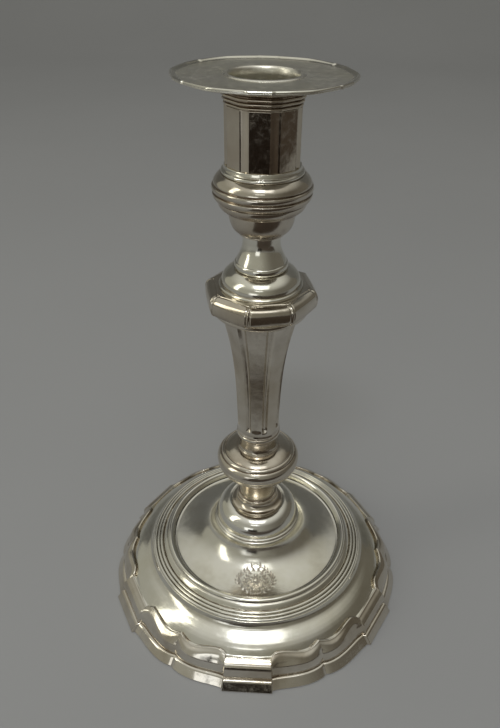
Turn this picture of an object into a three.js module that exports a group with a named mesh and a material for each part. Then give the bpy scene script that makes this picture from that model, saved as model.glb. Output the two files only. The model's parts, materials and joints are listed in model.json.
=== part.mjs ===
// A silver table candlestick built the way a silversmith builds one: a hollow contoured foot,
// a stem of hollow castings threaded over one tie rod, a fluted socket and a lift-off drip pan.
// Millimetres, +Z up. The origin is on the table, on the axis of the stem. -Y is the front.

import * as THREE from 'three';

// ---------------------------------------------------------------- driving dimensions

// The whole object
const lobes = 6;                     // panels round the foot and the drip pan
const sides = 8;                     // sides of the shoulder, the shaft and the socket
const panel_turn = -2.5;             // degrees, where the front panel of the foot points
const side_turn = -5.5;              // degrees, where the front side of the stem points
const shoulder_turn = 10.5;          // degrees, the same for the shoulder

// Foot border
const foot_apothem = 75.1;           // axis to the flat of a panel, at the table
const foot_height = 4.6;             // vertical band of the foot
const foot_flare = 3.0;              // the band leans out by this much from its top to the table
const foot_wall = 3.4;
const ledge_width = 0.9;             // flat step between the band and the moulding
const border_width = 5.4;            // run of the quarter-round moulding
const border_rise = 9.0;             // its rise above the band
const border_wall = 2.4;
const border_lip = 0.8;              // how far its inner edge stands above the slope
const panel_half = 8.8;              // degrees, half the angle one panel takes
const bite_depth = 2.2;              // how deep the curve beside a panel bites in
const tip_reach = 0.5;               // how far a lobe's tip stands past the panel
const notch_depth = 1.3;             // how deep the cusp between two lobes is

// Slope, reeded step, dome and crown
const slope_rise = 10.4;
const sheet = 1.6;                   // thickness of the raised sheet pieces
const step_outer = 54.4;
const step_width = 11.2;
const step_rise = 5.7;
const reed_count = 3;
const reed_size = 1.6;
const dome_rise = 15.0;
const dome_seat_width = 6;
const crown_radius = 21.6;
const crown_rise = 12.2;
const crown_recess_radius = 13.2;
const crown_recess_depth = 0.5;
const crown_roof = 2.6;              // thickness of the crown where the stem bears on it

// Stem
const spool_radius = 9.3;
const spool_height = 20.2;
const spool_flare = 3.2;             // how far the foot of the spool spreads
const knop_radius = 19.7;
const knop_half_height = 8.2;
const knop_neck_radius = 9.4;
const collar_height = 10.4;
const collar_bead_radius = 10.35;
const collar_waist_radius = 8.4;
const shaft_foot_radius = 9.9;
const shaft_top_radius = 16.6;
const shaft_height = 63.6;
const flute_depth = 0.9;
const under_ring_radius = 20.2;
const under_ring_height = 2.6;
const shoulder_radius = 23.9;        // over the corners
const shoulder_height = 8.8;
const cap_radius = 16.9;
const cap_height = 7.6;
const neck_ring_radius = 11.0;
const neck_ring_height = 3.2;
const neck_foot_radius = 10.2;
const neck_waist_radius = 7.5;
const neck_height = 11.5;

// Socket
const cup_foot_radius = 9.7;
const cup_mouth_radius = 13.2;
const cup_height = 9.8;
const bowl_radius = 19.3;
const bowl_seat_radius = 15.4;
const bowl_height = 14.1;
const bowl_groove = 0.35;
const socket_ring_radius = 15.7;
const socket_ring_height = 3.2;
const tube_radius = 14.2;
const tube_height = 20.9;
const tube_flute = 0.5;
const lip_radius = 16.4;
const lip_flute = 0.15;              // hollow of the lip's corners, less than the tube's
const lip_height = 8.5;
const socket_bore = 13.0;            // radius of the hole down the socket

// Drip pan
const pan_apothem = 32.1;
const pan_panel_half = 6.6;          // degrees
const pan_tip_reach = 0.9;
const pan_thickness = 1.0;
const rim_height = 0.9;
const rim_width = 1.3;
const sleeve_wall = 0.7;
const sleeve_depth = 27;
const mouth_flare = 1.1;             // the mouth of the sleeve opens out into the pan

// Tie rod and the joints between the castings
const rod_radius = 2.5;
const rod_clearance = 0.5;
const spigot_radius = 5.0;
const spigot_height = 1.4;
const spigot_clearance = 0.15;
const spigot_relief = 0.2;           // a recess is this much deeper than its spigot
const sliding_clearance = 0.25;      // sleeve in its bore, so that the pan lifts out
const edge_gap = 0.3;                // between pieces that lie side by side
const head_radius = 4.5;             // head of the tie rod, on the floor of the bowl
const head_height = 1.2;
const seat_thickness = 2.6;
const washer_radius = 7;
const washer_thickness = 1.6;
const nut_across_flats = 8;
const nut_height = 4;
const rod_tail = 1.5;                // thread that shows below the nut

// ---------------------------------------------------------------- finishes

function silver(color, roughness) {
  return new THREE.MeshStandardMaterial({ color, roughness, metalness: 1 });
}
const bright_silver = silver(0xc9c6b6, 0.22);
const worn_silver = silver(0xb5b09c, 0.32);
const dark_silver = silver(0x8d8470, 0.42);
const steel = new THREE.MeshStandardMaterial({ color: 0x77787a, roughness: 0.5, metalness: 1 });

// ---------------------------------------------------------------- tools

const group = new THREE.Group();
const radians = THREE.MathUtils.degToRad;

// Points of an outline, with every repeated point left out.
function pointsOf(outline, divisions) {
  const points = [];
  for (const point of outline.getPoints(divisions)) {
    const last = points[points.length - 1];
    if (!last || last.distanceTo(point) > 0.02) points.push(point);
  }
  if (points[0].distanceTo(points[points.length - 1]) < 0.02) points.pop();
  return points;
}

// Angles of the flat ring of stations that a plain round piece uses.
function roundStations(count) {
  return Array.from({ length: count }, (_, i) => i * 360 / count);
}

// Turns a closed outline (x is radius, y is height) about the axis. The stations are degrees
// from the front, and plan gives the radius there, so the ring can be lobed or faceted.
function turned(name, outline, material, { stations = roundStations(24), plan, divisions = 3 } = {}) {
  const points = pointsOf(outline, divisions);
  if (THREE.ShapeUtils.area(points) < 0) points.reverse();
  points.push(points[0].clone());
  const geometry = new THREE.LatheGeometry(points, stations.length);
  const position = geometry.getAttribute('position');
  const across = points.length;
  for (let i = 0; i <= stations.length; i += 1) {
    const degrees = stations[i % stations.length];
    for (let j = 0; j < across; j += 1) {
      const point = points[j];
      const radius = plan ? plan(point, degrees) : point.x;
      const angle = radians(degrees);
      position.setXYZ(i * across + j, radius * Math.sin(angle), -radius * Math.cos(angle), point.y);
    }
  }
  return place(name, geometry, material);
}

function place(name, geometry, material) {
  const mesh = new THREE.Mesh(geometry, material);
  mesh.name = name;
  group.add(mesh);
  return mesh;
}

// Angle from the middle of the nearest of `count` equal sectors, 0 to half a sector.
function fromMiddle(degrees, count, turn) {
  const sector = 360 / count;
  const local = THREE.MathUtils.euclideanModulo(degrees - turn + sector / 2, sector);
  return Math.abs(local - sector / 2);
}

// The same half-sector stations, mirrored and repeated all the way round.
function sectorStations(halfAngles, count, turn) {
  const stations = [];
  const sector = 360 / count;
  for (let k = 0; k < count; k += 1) {
    const middle = turn + k * sector;
    for (const angle of [...halfAngles].reverse()) stations.push(middle - angle);
    for (const angle of halfAngles) if (angle > 0 && angle < sector / 2) stations.push(middle + angle);
  }
  return stations;
}

// A smooth step from a to b as t goes from 0 to 1.
function ease(a, b, t) {
  return a + (b - a) * THREE.MathUtils.smoothstep(t, 0, 1);
}

// Radius on a flat whose apothem is given.
function onFlat(apothem, degrees) {
  return apothem / Math.cos(radians(degrees));
}

// Foot plan: a flat panel, a bite beside it, a lobe that swells to its tip, and a cusp.
const bite_angle = panel_half + 4.2;
const tip_angle = 24.6;
const cusp_angle = 180 / lobes;
const foot_half_angles = [panel_half, panel_half + 0.7, bite_angle, 17, 21, tip_angle, cusp_angle];

function footRadius(apothem, depth, degrees) {
  const angle = fromMiddle(degrees, lobes, panel_turn);
  if (angle <= panel_half + 0.01) return onFlat(apothem, angle);
  const low = apothem - bite_depth * depth;
  const tip = apothem + tip_reach;
  const cusp = apothem - notch_depth * depth;
  if (angle < bite_angle) {
    return ease(apothem - 0.45 * bite_depth * depth, low, (angle - panel_half) / (bite_angle - panel_half));
  }
  if (angle < tip_angle) return ease(low, tip, (angle - bite_angle) / (tip_angle - bite_angle));
  return ease(tip, cusp, (angle - tip_angle) / (cusp_angle - tip_angle));
}

const foot_stations = sectorStations(foot_half_angles, lobes, panel_turn);

// The relief of the lobes is full at the moulding's inner edge and softer down at the table.
function footPlan(reliefAt) {
  return (point, degrees) => {
    const depth = reliefAt(point);
    return footRadius(point.x, depth, degrees);
  };
}

// Bore of a stem piece, from its foot up to its head: a recess that takes the spigot below, a
// hollow core where the wall allows one, and a spigot of its own on top.
function stemBore(outline, foot, head, { recess = true, spigot = true, core = 0 } = {}) {
  const bore = rod_radius + rod_clearance;
  const pocket = spigot_radius + spigot_clearance;
  const pocket_depth = spigot_height + spigot_relief;
  if (spigot) {
    outline.lineTo(spigot_radius, head);
    outline.lineTo(spigot_radius, head + spigot_height);
    outline.lineTo(bore, head + spigot_height);
  } else {
    outline.lineTo(bore, head);
  }
  if (core > 0) {
    const roof = head - sheet;
    const floor = foot + (recess ? pocket_depth : 0) + sheet;
    outline.lineTo(bore, roof);
    outline.lineTo(core, roof);
    outline.lineTo(core, floor);
    outline.lineTo(bore, floor);
  }
  if (recess) {
    outline.lineTo(bore, foot + pocket_depth);
    outline.lineTo(pocket, foot + pocket_depth);
    outline.lineTo(pocket, foot);
  } else {
    outline.lineTo(bore, foot);
  }
}

// A half-round bead that bulges out by size between two heights.
function bead(outline, radius, from, to, size) {
  outline.quadraticCurveTo(radius + 2 * size, (from + to) / 2, radius, to);
}

// ---------------------------------------------------------------- heights, from the table up

const border_top = foot_height + border_rise;
const slope_edge = border_top - border_lip;
const step_seat = slope_edge + slope_rise;
const step_top = step_seat + step_rise;
const crown_seat = step_seat + dome_rise;
const crown_top = crown_seat + crown_rise;
const spool_seat = crown_top - crown_recess_depth;
const knop_seat = spool_seat + spool_height;
const knop_middle = knop_seat + knop_half_height;
const collar_seat = knop_middle + knop_half_height;
const shaft_seat = collar_seat + collar_height;
const under_ring_seat = shaft_seat + shaft_height;
const shoulder_seat = under_ring_seat + under_ring_height;
const cap_seat = shoulder_seat + shoulder_height;
const neck_ring_seat = cap_seat + cap_height;
const neck_seat = neck_ring_seat + neck_ring_height;
const cup_seat = neck_seat + neck_height;
const bowl_seat = cup_seat + cup_height;
const socket_ring_seat = bowl_seat + bowl_height;
const tube_seat = socket_ring_seat + socket_ring_height;
const lip_seat = tube_seat + tube_height;
const pan_seat = lip_seat + lip_height;

// ---------------------------------------------------------------- foot

const band_top_apothem = foot_apothem - foot_flare;
const moulding_outer = band_top_apothem - ledge_width;
const moulding_inner = moulding_outer - border_width;

function footBand() {
  const inner = band_top_apothem - foot_wall;
  const outline = new THREE.Path();
  outline.moveTo(inner, 0);
  outline.lineTo(foot_apothem, 0);
  outline.lineTo(band_top_apothem, foot_height - 0.4);
  outline.lineTo(band_top_apothem - 0.3, foot_height);
  outline.lineTo(inner, foot_height);
  const relief = () => 0.6;
  turned('foot_band', outline, worn_silver, { stations: foot_stations, plan: footPlan(relief) });
}

function borderMoulding() {
  const seat = slope_edge - sheet;
  const outline = new THREE.Path();
  outline.moveTo(moulding_outer - border_wall, foot_height);
  outline.lineTo(moulding_outer - 0.5, foot_height);
  outline.lineTo(moulding_outer, foot_height + 1.6);
  outline.quadraticCurveTo(moulding_outer - 0.2, border_top - 2.2, moulding_inner + 1.7, border_top - 1.5);
  outline.quadraticCurveTo(moulding_inner + 0.9, border_top - 1.2, moulding_inner + 0.6, border_top);
  outline.lineTo(moulding_inner, border_top);
  outline.lineTo(moulding_inner, seat);
  outline.lineTo(moulding_inner - border_wall, seat);
  outline.lineTo(moulding_inner - border_wall, seat - sheet);
  outline.lineTo(moulding_inner + 1.2, seat - sheet);
  outline.lineTo(moulding_outer - border_wall, foot_height + 4);
  const relief = (point) => THREE.MathUtils.mapLinear(point.y, foot_height, border_top, 0.6, 1);
  turned('border_moulding', outline, worn_silver, { stations: foot_stations, plan: footPlan(relief) });
}

// The sheet that rises in an ogee from the moulding to the reeded step. Its rim follows the lobes
// and its inner flange is round.
function slopePlate() {
  const rim = moulding_inner - edge_gap;
  const inner = step_outer - step_width - dome_seat_width;
  const run = rim - step_outer;
  const outline = new THREE.Path();
  outline.moveTo(rim - border_wall + edge_gap, slope_edge - sheet);
  outline.lineTo(rim, slope_edge - sheet);
  outline.lineTo(rim, slope_edge);
  outline.bezierCurveTo(
    rim - 0.35 * run, slope_edge + 0.52 * slope_rise,
    rim - 0.62 * run, step_seat - 0.1 * slope_rise, step_outer, step_seat);
  outline.lineTo(inner, step_seat);
  outline.lineTo(inner, step_seat - sheet);
  outline.lineTo(step_outer, step_seat - sheet);
  outline.bezierCurveTo(
    rim - 0.62 * run - 1, step_seat - 0.1 * slope_rise - sheet,
    rim - 0.35 * run - 1.6, slope_edge + 0.52 * slope_rise - sheet,
    rim - border_wall + edge_gap, slope_edge - sheet);
  const plan = (point, degrees) => {
    const share = THREE.MathUtils.clamp((point.x - step_outer) / run, 0, 1);
    const lobed = footRadius(point.x, 1, degrees) - point.x;
    return point.x + lobed * share * share;
  };
  turned('slope_plate', outline, bright_silver, { stations: foot_stations, plan, divisions: 4 });
}

function reededStepRing() {
  const inner = step_outer - step_width;
  const reed_rise = 0.45;
  const outline = new THREE.Path();
  outline.moveTo(inner, step_seat);
  outline.lineTo(step_outer - edge_gap, step_seat);
  let radius = step_outer - edge_gap;
  let height = step_seat;
  for (let i = 0; i < reed_count; i += 1) {
    outline.quadraticCurveTo(radius + 0.1, height + 1.5, radius - reed_size, height + reed_rise + 0.3);
    radius -= reed_size;
    height += reed_rise;
    outline.lineTo(radius, height);
  }
  outline.quadraticCurveTo(radius - 1.2, height + 1.2, inner + 4.0, step_top - 1.9);
  outline.lineTo(inner + 3.4, step_top - 2.0);
  outline.quadraticCurveTo(inner + 2.6, step_top + 0.2, inner + 1.4, step_top - 0.4);
  outline.quadraticCurveTo(inner + 0.9, step_top - 1.6, inner, step_top - 2.3);
  turned('reeded_step_ring', outline, bright_silver, { stations: roundStations(36) });
}

function wellDome() {
  const outer = step_outer - step_width - edge_gap;
  const seat_inner = outer - dome_seat_width + edge_gap;
  const bore = crown_radius - 4.5;
  const run = outer - crown_radius;
  const outline = new THREE.Path();
  outline.moveTo(seat_inner, step_seat);
  outline.lineTo(outer, step_seat);
  outline.lineTo(outer, step_top - 2.8);
  outline.lineTo(outer - 1.2, step_top - 3.0);
  outline.bezierCurveTo(
    outer - 0.45 * run, step_top - 2.6,
    crown_radius + 0.12 * run, step_top - 0.5, crown_radius, crown_seat - 1.4);
  outline.lineTo(crown_radius - 0.3, crown_seat);
  outline.lineTo(bore, crown_seat);
  outline.lineTo(bore, crown_seat - 2 * sheet);
  outline.bezierCurveTo(
    crown_radius + 0.1 * run, step_top - 3.4,
    outer - 0.5 * run, step_seat + sheet, seat_inner, step_seat);
  turned('well_dome', outline, bright_silver, { stations: roundStations(36), divisions: 4 });
}

function crownShell() {
  const bore = rod_radius + rod_clearance;
  const wall = 2.2;
  const roof = spool_seat - crown_roof;
  const outline = new THREE.Path();
  outline.moveTo(crown_radius - wall - 2, crown_seat);
  outline.lineTo(crown_radius - 0.5, crown_seat);
  outline.lineTo(crown_radius, crown_seat + 0.5);
  outline.lineTo(crown_radius - 0.6, crown_seat + 1.6);
  outline.lineTo(crown_radius - 0.4, crown_seat + 2.2);
  outline.lineTo(crown_radius - 1.1, crown_seat + 3.0);
  outline.bezierCurveTo(
    crown_radius - 1.6, crown_top - 2.6,
    crown_recess_radius + 3.0, crown_top, crown_recess_radius + 0.6, crown_top);
  outline.lineTo(crown_recess_radius, crown_top);
  outline.lineTo(crown_recess_radius, spool_seat);
  outline.lineTo(spigot_radius, spool_seat);
  outline.lineTo(spigot_radius, spool_seat + spigot_height);
  outline.lineTo(bore, spool_seat + spigot_height);
  outline.lineTo(bore, roof);
  outline.lineTo(crown_recess_radius, roof);
  outline.lineTo(crown_radius - wall - 2, crown_seat + 3);
  turned('dome_crown', outline, bright_silver, { stations: roundStations(36) });
}

// ---------------------------------------------------------------- stem

function spoolCollar() {
  const foot = spool_radius + spool_flare;
  const bead_foot = spool_seat + 4.2;
  const bead_head = bead_foot + 1.6;
  const outline = new THREE.Path();
  outline.moveTo(foot, spool_seat);
  outline.lineTo(foot, spool_seat + 0.5);
  outline.quadraticCurveTo(spool_radius + 0.3, spool_seat + 1.0, spool_radius + 0.1, bead_foot);
  bead(outline, spool_radius + 0.1, bead_foot, bead_head, 0.5);
  outline.lineTo(spool_radius - 0.5, bead_head + 0.6);
  outline.quadraticCurveTo(spool_radius - 0.9, knop_seat - 5, spool_radius + 0.6, knop_seat);
  stemBore(outline, spool_seat, knop_seat, { core: 6 });
  turned('spool_collar', outline, dark_silver);
}

const knop_core = knop_radius - 6;

function knopLowerShell() {
  const outline = new THREE.Path();
  outline.moveTo(spool_radius + 0.8, knop_seat);
  outline.quadraticCurveTo(knop_radius - 4.5, knop_seat + 0.4, knop_radius - 2.4, knop_middle - 4.4);
  outline.lineTo(knop_radius - 1.7, knop_middle - 4.2);
  outline.quadraticCurveTo(knop_radius - 0.3, knop_middle - 2.4, knop_radius - 0.2, knop_middle);
  outline.lineTo(knop_core, knop_middle);
  outline.lineTo(knop_core, knop_seat + 4.6);
  outline.lineTo(rod_radius + rod_clearance, knop_seat + 4.6);
  outline.lineTo(rod_radius + rod_clearance, knop_seat + spigot_height + spigot_relief);
  outline.lineTo(spigot_radius + spigot_clearance, knop_seat + spigot_height + spigot_relief);
  outline.lineTo(spigot_radius + spigot_clearance, knop_seat);
  turned('knop_lower_shell', outline, worn_silver);
}

function knopUpperShell() {
  const outline = new THREE.Path();
  outline.moveTo(knop_core, knop_middle);
  outline.lineTo(knop_radius - 0.2, knop_middle);
  outline.lineTo(knop_radius, knop_middle + 0.4);
  outline.quadraticCurveTo(knop_radius, knop_middle + 3.0, knop_radius - 1.6, knop_middle + 4.2);
  outline.lineTo(knop_radius - 2.0, knop_middle + 4.1);
  outline.quadraticCurveTo(knop_radius - 2.2, knop_middle + 5.6, knop_radius - 3.4, knop_middle + 5.8);
  outline.lineTo(knop_radius - 3.8, knop_middle + 5.7);
  outline.quadraticCurveTo(knop_radius - 6.5, knop_middle + 7.8, knop_neck_radius + 0.3, collar_seat - 0.5);
  outline.lineTo(knop_neck_radius, collar_seat);
  outline.lineTo(spigot_radius, collar_seat);
  outline.lineTo(spigot_radius, collar_seat + spigot_height);
  outline.lineTo(rod_radius + rod_clearance, collar_seat + spigot_height);
  outline.lineTo(rod_radius + rod_clearance, collar_seat - 3.4);
  outline.lineTo(knop_core, collar_seat - 3.4);
  turned('knop_upper_shell', outline, worn_silver);
}

function shaftCollar() {
  const bead_head = shaft_seat - 0.9;
  const bead_foot = bead_head - 2.2;
  const outline = new THREE.Path();
  outline.moveTo(knop_neck_radius - 0.3, collar_seat);
  outline.quadraticCurveTo(collar_waist_radius - 0.2, collar_seat + 1, collar_waist_radius, bead_foot - 1);
  outline.lineTo(collar_bead_radius - 0.9, bead_foot);
  bead(outline, collar_bead_radius - 0.8, bead_foot, bead_head, 0.8);
  outline.lineTo(shaft_foot_radius + 0.1, shaft_seat);
  stemBore(outline, collar_seat, shaft_seat);
  turned('shaft_collar', outline, worn_silver);
}

// Plan of an eight-sided hollow-fluted piece: a broad flat side, and a narrow hollow strip at
// each corner whose two edges are arrises.
const strip_half = 7.5;              // degrees, half the angle of the narrow strip
const corner_angle = 180 / sides;
const strip_edge = corner_angle - strip_half;
const fluted_half_angles = [0, strip_edge, corner_angle - 0.45 * strip_half, corner_angle];
const fluted_stations = sectorStations(fluted_half_angles, sides, side_turn);

function flutedRadius(radius, depth, degrees) {
  const angle = fromMiddle(degrees, sides, side_turn);
  if (angle <= strip_edge + 0.01) return onFlat(radius * Math.cos(radians(strip_edge)), angle);
  return angle < corner_angle - 0.2 ? radius - 0.75 * depth : radius - depth;
}

function flutedShaft() {
  const flute_foot = shaft_seat + 4.2;
  const outline = new THREE.Path();
  outline.moveTo(shaft_foot_radius, shaft_seat);
  outline.lineTo(shaft_foot_radius - 0.4, shaft_seat + 1.2);
  outline.lineTo(shaft_foot_radius - 0.2, flute_foot - 0.3);
  outline.lineTo(shaft_foot_radius, flute_foot);
  const top = under_ring_seat;
  const rise = top - flute_foot;
  outline.bezierCurveTo(
    shaft_foot_radius + 0.4, flute_foot + 0.35 * rise,
    shaft_foot_radius + 1.0, top - 0.38 * rise, shaft_top_radius - 1.8, top - 8);
  outline.lineTo(shaft_top_radius, top);
  stemBore(outline, shaft_seat, top, { core: 6.2 });
  const core = spigot_radius + 1.3;
  const plan = (point, degrees) => {
    if (point.x < core || point.y < flute_foot - 0.5) return point.x;
    return flutedRadius(point.x, flute_depth, degrees);
  };
  turned('fluted_shaft', outline, worn_silver, { stations: fluted_stations, plan, divisions: 5 });
}

function shoulderUnderRing() {
  const outline = new THREE.Path();
  const edge = under_ring_radius - 0.7;
  outline.moveTo(spigot_radius + spigot_clearance, under_ring_seat);
  outline.lineTo(edge, under_ring_seat);
  bead(outline, edge, under_ring_seat, shoulder_seat, 0.7);
  outline.lineTo(spigot_radius + spigot_clearance, shoulder_seat);
  turned('shoulder_under_ring', outline, worn_silver);
}

// Plan of the shoulder: eight flats that meet in plain corners.
const octagon_stations = sectorStations([0, corner_angle / 2, corner_angle], sides, shoulder_turn);

function shoulderBand() {
  const shelf = cap_radius + 3.0;
  const flat = Math.cos(radians(corner_angle));
  const pocket = spigot_radius + spigot_clearance;
  const outline = new THREE.Path();
  outline.moveTo(under_ring_radius + 1.9, shoulder_seat);
  outline.lineTo(shoulder_radius - 0.7, shoulder_seat + 0.5);
  outline.quadraticCurveTo(
    shoulder_radius + 0.2, shoulder_seat + 3.6, shoulder_radius - 0.1, cap_seat - 2.0);
  outline.quadraticCurveTo(shoulder_radius - 0.6, cap_seat - 0.4, shelf + 0.3, cap_seat);
  outline.lineTo(pocket + 6, cap_seat);
  outline.lineTo(pocket + 6, shoulder_seat + 2);
  outline.lineTo(pocket, shoulder_seat + 2);
  outline.lineTo(pocket, shoulder_seat);
  const plan = (point, degrees) => {
    if (point.x < cap_radius) return point.x;
    return onFlat(point.x * flat, fromMiddle(degrees, sides, shoulder_turn));
  };
  turned('shoulder_band', outline, worn_silver, { stations: octagon_stations, plan });
}

function shoulderCap() {
  const outline = new THREE.Path();
  outline.moveTo(cap_radius + 0.2, cap_seat);
  outline.lineTo(cap_radius + 0.3, cap_seat + 0.8);
  outline.lineTo(cap_radius - 0.1, cap_seat + 1.2);
  outline.lineTo(cap_radius - 0.6, cap_seat + 1.4);
  outline.quadraticCurveTo(
    cap_radius - 0.4, cap_seat + 5.4, neck_ring_radius + 0.6, neck_ring_seat);
  outline.lineTo(spigot_radius, neck_ring_seat);
  outline.lineTo(spigot_radius, neck_seat + spigot_height);
  outline.lineTo(rod_radius + rod_clearance, neck_seat + spigot_height);
  outline.lineTo(rod_radius + rod_clearance, neck_ring_seat - sheet);
  outline.lineTo(cap_radius - 5.0, neck_ring_seat - 2 * sheet);
  outline.lineTo(cap_radius - 2.4, cap_seat);
  turned('shoulder_cap', outline, bright_silver);
}

function neckRing() {
  const edge = neck_ring_radius - 0.8;
  const outline = new THREE.Path();
  outline.moveTo(spigot_radius + spigot_clearance, neck_ring_seat);
  outline.lineTo(edge, neck_ring_seat);
  bead(outline, edge, neck_ring_seat, neck_seat, 0.8);
  outline.lineTo(spigot_radius + spigot_clearance, neck_seat);
  turned('neck_ring', outline, bright_silver);
}

function socketNeck() {
  const outline = new THREE.Path();
  outline.moveTo(neck_foot_radius, neck_seat);
  outline.bezierCurveTo(
    neck_foot_radius - 1.2, neck_seat + 0.26 * neck_height,
    neck_waist_radius, neck_seat + 0.42 * neck_height,
    neck_waist_radius, neck_seat + 0.74 * neck_height);
  outline.lineTo(neck_waist_radius + 0.3, cup_seat);
  stemBore(outline, neck_seat, cup_seat);
  turned('socket_neck', outline, bright_silver);
}

// ---------------------------------------------------------------- socket

const floor_top = bowl_seat + spigot_height + spigot_relief + sheet;
const seat_top = floor_top + seat_thickness;

function socketCup() {
  const outline = new THREE.Path();
  outline.moveTo(neck_waist_radius + 0.8, cup_seat);
  outline.lineTo(cup_foot_radius - 0.6, cup_seat + 0.3);
  outline.lineTo(cup_foot_radius - 0.4, cup_seat + 0.9);
  outline.bezierCurveTo(
    cup_foot_radius + 1.8, cup_seat + 0.16 * cup_height,
    cup_mouth_radius - 0.5, cup_seat + 0.4 * cup_height, cup_mouth_radius, bowl_seat);
  stemBore(outline, cup_seat, bowl_seat, { core: 8 });
  turned('socket_cup', outline, worn_silver);
}

// The bulging bowl of the socket: a smooth top, two reeds with grooves between them, and a
// rounded foot. Its floor carries the seat.
function socketBowl() {
  const outline = new THREE.Path();
  const foot_top = bowl_seat + 0.3 * bowl_height;
  const reed_top = bowl_seat + 0.52 * bowl_height;
  const belly_top = bowl_seat + 0.72 * bowl_height;
  outline.moveTo(cup_mouth_radius + 0.4, bowl_seat);
  outline.lineTo(bowl_seat_radius - 0.5, bowl_seat + 0.1);
  outline.quadraticCurveTo(bowl_radius - 2.2, bowl_seat + 1.2, bowl_radius - 1.9, foot_top);
  outline.lineTo(bowl_radius - 1.2 - bowl_groove, foot_top + 0.3);
  outline.quadraticCurveTo(bowl_radius - 0.1, foot_top + 1.4, bowl_radius - 0.2 - bowl_groove, reed_top);
  outline.quadraticCurveTo(bowl_radius + 0.5, reed_top + 1.2, bowl_radius - 0.2 - bowl_groove, belly_top);
  outline.quadraticCurveTo(
    bowl_radius - 0.9, belly_top + 2.0, bowl_seat_radius + 0.6, socket_ring_seat);
  outline.lineTo(socket_bore, socket_ring_seat);
  outline.lineTo(socket_bore, floor_top);
  stemBore(outline, bowl_seat, floor_top, { spigot: false });
  turned('socket_bowl', outline, worn_silver);
}

function socketFootRing() {
  const edge = socket_ring_radius - 0.5;
  const shoulder = socket_ring_seat + 0.45 * socket_ring_height;
  const outline = new THREE.Path();
  outline.moveTo(socket_bore, socket_ring_seat);
  outline.lineTo(edge, socket_ring_seat);
  bead(outline, edge, socket_ring_seat, shoulder, 0.5);
  outline.quadraticCurveTo(edge - 0.5, shoulder + 0.2, tube_radius + 0.2, tube_seat);
  outline.lineTo(socket_bore, tube_seat);
  turned('socket_foot_ring', outline, bright_silver);
}

function socketTube() {
  const outline = new THREE.Path();
  outline.moveTo(socket_bore, tube_seat);
  outline.lineTo(tube_radius, tube_seat);
  outline.lineTo(tube_radius, lip_seat);
  outline.lineTo(socket_bore, lip_seat);
  const plan = (point, degrees) => {
    if (point.x < tube_radius - 0.1) return point.x;
    return flutedRadius(point.x, tube_flute, degrees);
  };
  turned('socket_tube', outline, dark_silver, { stations: fluted_stations, plan });
}

// The lip grows wider in three small steps that follow the sides of the tube, and flares under
// the drip pan.
function socketLip() {
  const outline = new THREE.Path();
  const steps = [[tube_radius + 0.3, 1.4], [tube_radius + 0.7, 1.5], [tube_radius + 1.2, 1.5]];
  let height = lip_seat;
  outline.moveTo(socket_bore, height);
  outline.lineTo(tube_radius - 0.2, height);
  for (const [radius, rise] of steps) {
    outline.lineTo(radius, height + 0.3);
    outline.lineTo(radius, height + rise - 0.5);
    height += rise;
    outline.lineTo(radius - 0.5, height);
  }
  outline.quadraticCurveTo(lip_radius - 0.6, height + 0.8, lip_radius, pan_seat - 1.0);
  outline.lineTo(lip_radius, pan_seat);
  outline.lineTo(socket_bore, pan_seat);
  const plan = (point, degrees) => {
    if (point.x < socket_bore + 0.1) return point.x;
    return flutedRadius(point.x, lip_flute, degrees);
  };
  turned('socket_lip', outline, dark_silver, { stations: fluted_stations, plan });
}

// ---------------------------------------------------------------- drip pan

function panRadius(apothem, degrees) {
  const angle = fromMiddle(degrees, lobes, panel_turn);
  if (angle <= pan_panel_half + 0.01) return onFlat(apothem, angle);
  const corner = onFlat(apothem, pan_panel_half);
  const share = (angle - pan_panel_half) / (cusp_angle - pan_panel_half);
  return corner + (pan_tip_reach - 0.2) * share - 1.1 * share * (1 - share);
}

const pan_half_angles = [pan_panel_half, 18, cusp_angle];
const pan_stations = sectorStations(pan_half_angles, lobes, panel_turn);
const sleeve_outer = socket_bore - sliding_clearance;
const sleeve_inner = sleeve_outer - sleeve_wall;

function lobedPan(point, degrees) {
  if (point.x < pan_apothem - 4) return point.x;
  return panRadius(point.x, degrees);
}

function dripPanPlate() {
  const top = pan_seat + pan_thickness;
  const outline = new THREE.Path();
  outline.moveTo(sleeve_outer + edge_gap, pan_seat);
  outline.lineTo(pan_apothem - 0.8, pan_seat);
  outline.lineTo(pan_apothem, pan_seat + 0.5);
  outline.lineTo(pan_apothem, top);
  outline.lineTo(sleeve_outer + edge_gap, top);
  turned('drip_pan_plate', outline, bright_silver, { stations: pan_stations, plan: lobedPan });
}

function dripPanRim() {
  const foot = pan_seat + pan_thickness;
  const inner = pan_apothem - rim_width;
  const outline = new THREE.Path();
  outline.moveTo(inner, foot);
  outline.lineTo(pan_apothem, foot);
  outline.quadraticCurveTo(
    pan_apothem + 0.6, foot + 0.5 * rim_height, pan_apothem - 0.3, foot + rim_height);
  outline.lineTo(inner + 0.4, foot + rim_height - 0.3);
  turned('drip_pan_rim', outline, bright_silver, { stations: pan_stations, plan: lobedPan, divisions: 2 });
}

// The sleeve drops into the socket, and its flange rests on top of the plate.
function dripPanSleeve() {
  const top = pan_seat + pan_thickness;
  const outline = new THREE.Path();
  const flange = 0.5;
  outline.moveTo(sleeve_inner, pan_seat - sleeve_depth);
  outline.lineTo(sleeve_outer, pan_seat - sleeve_depth);
  outline.lineTo(sleeve_outer, top);
  outline.lineTo(sleeve_inner + mouth_flare + 1.4, top);
  outline.lineTo(sleeve_inner + mouth_flare, top + flange);
  outline.lineTo(sleeve_inner + 0.5, top + 0.1);
  outline.lineTo(sleeve_inner, pan_seat - 1.2);
  turned('drip_pan_sleeve', outline, bright_silver);
}

// ---------------------------------------------------------------- inside

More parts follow.
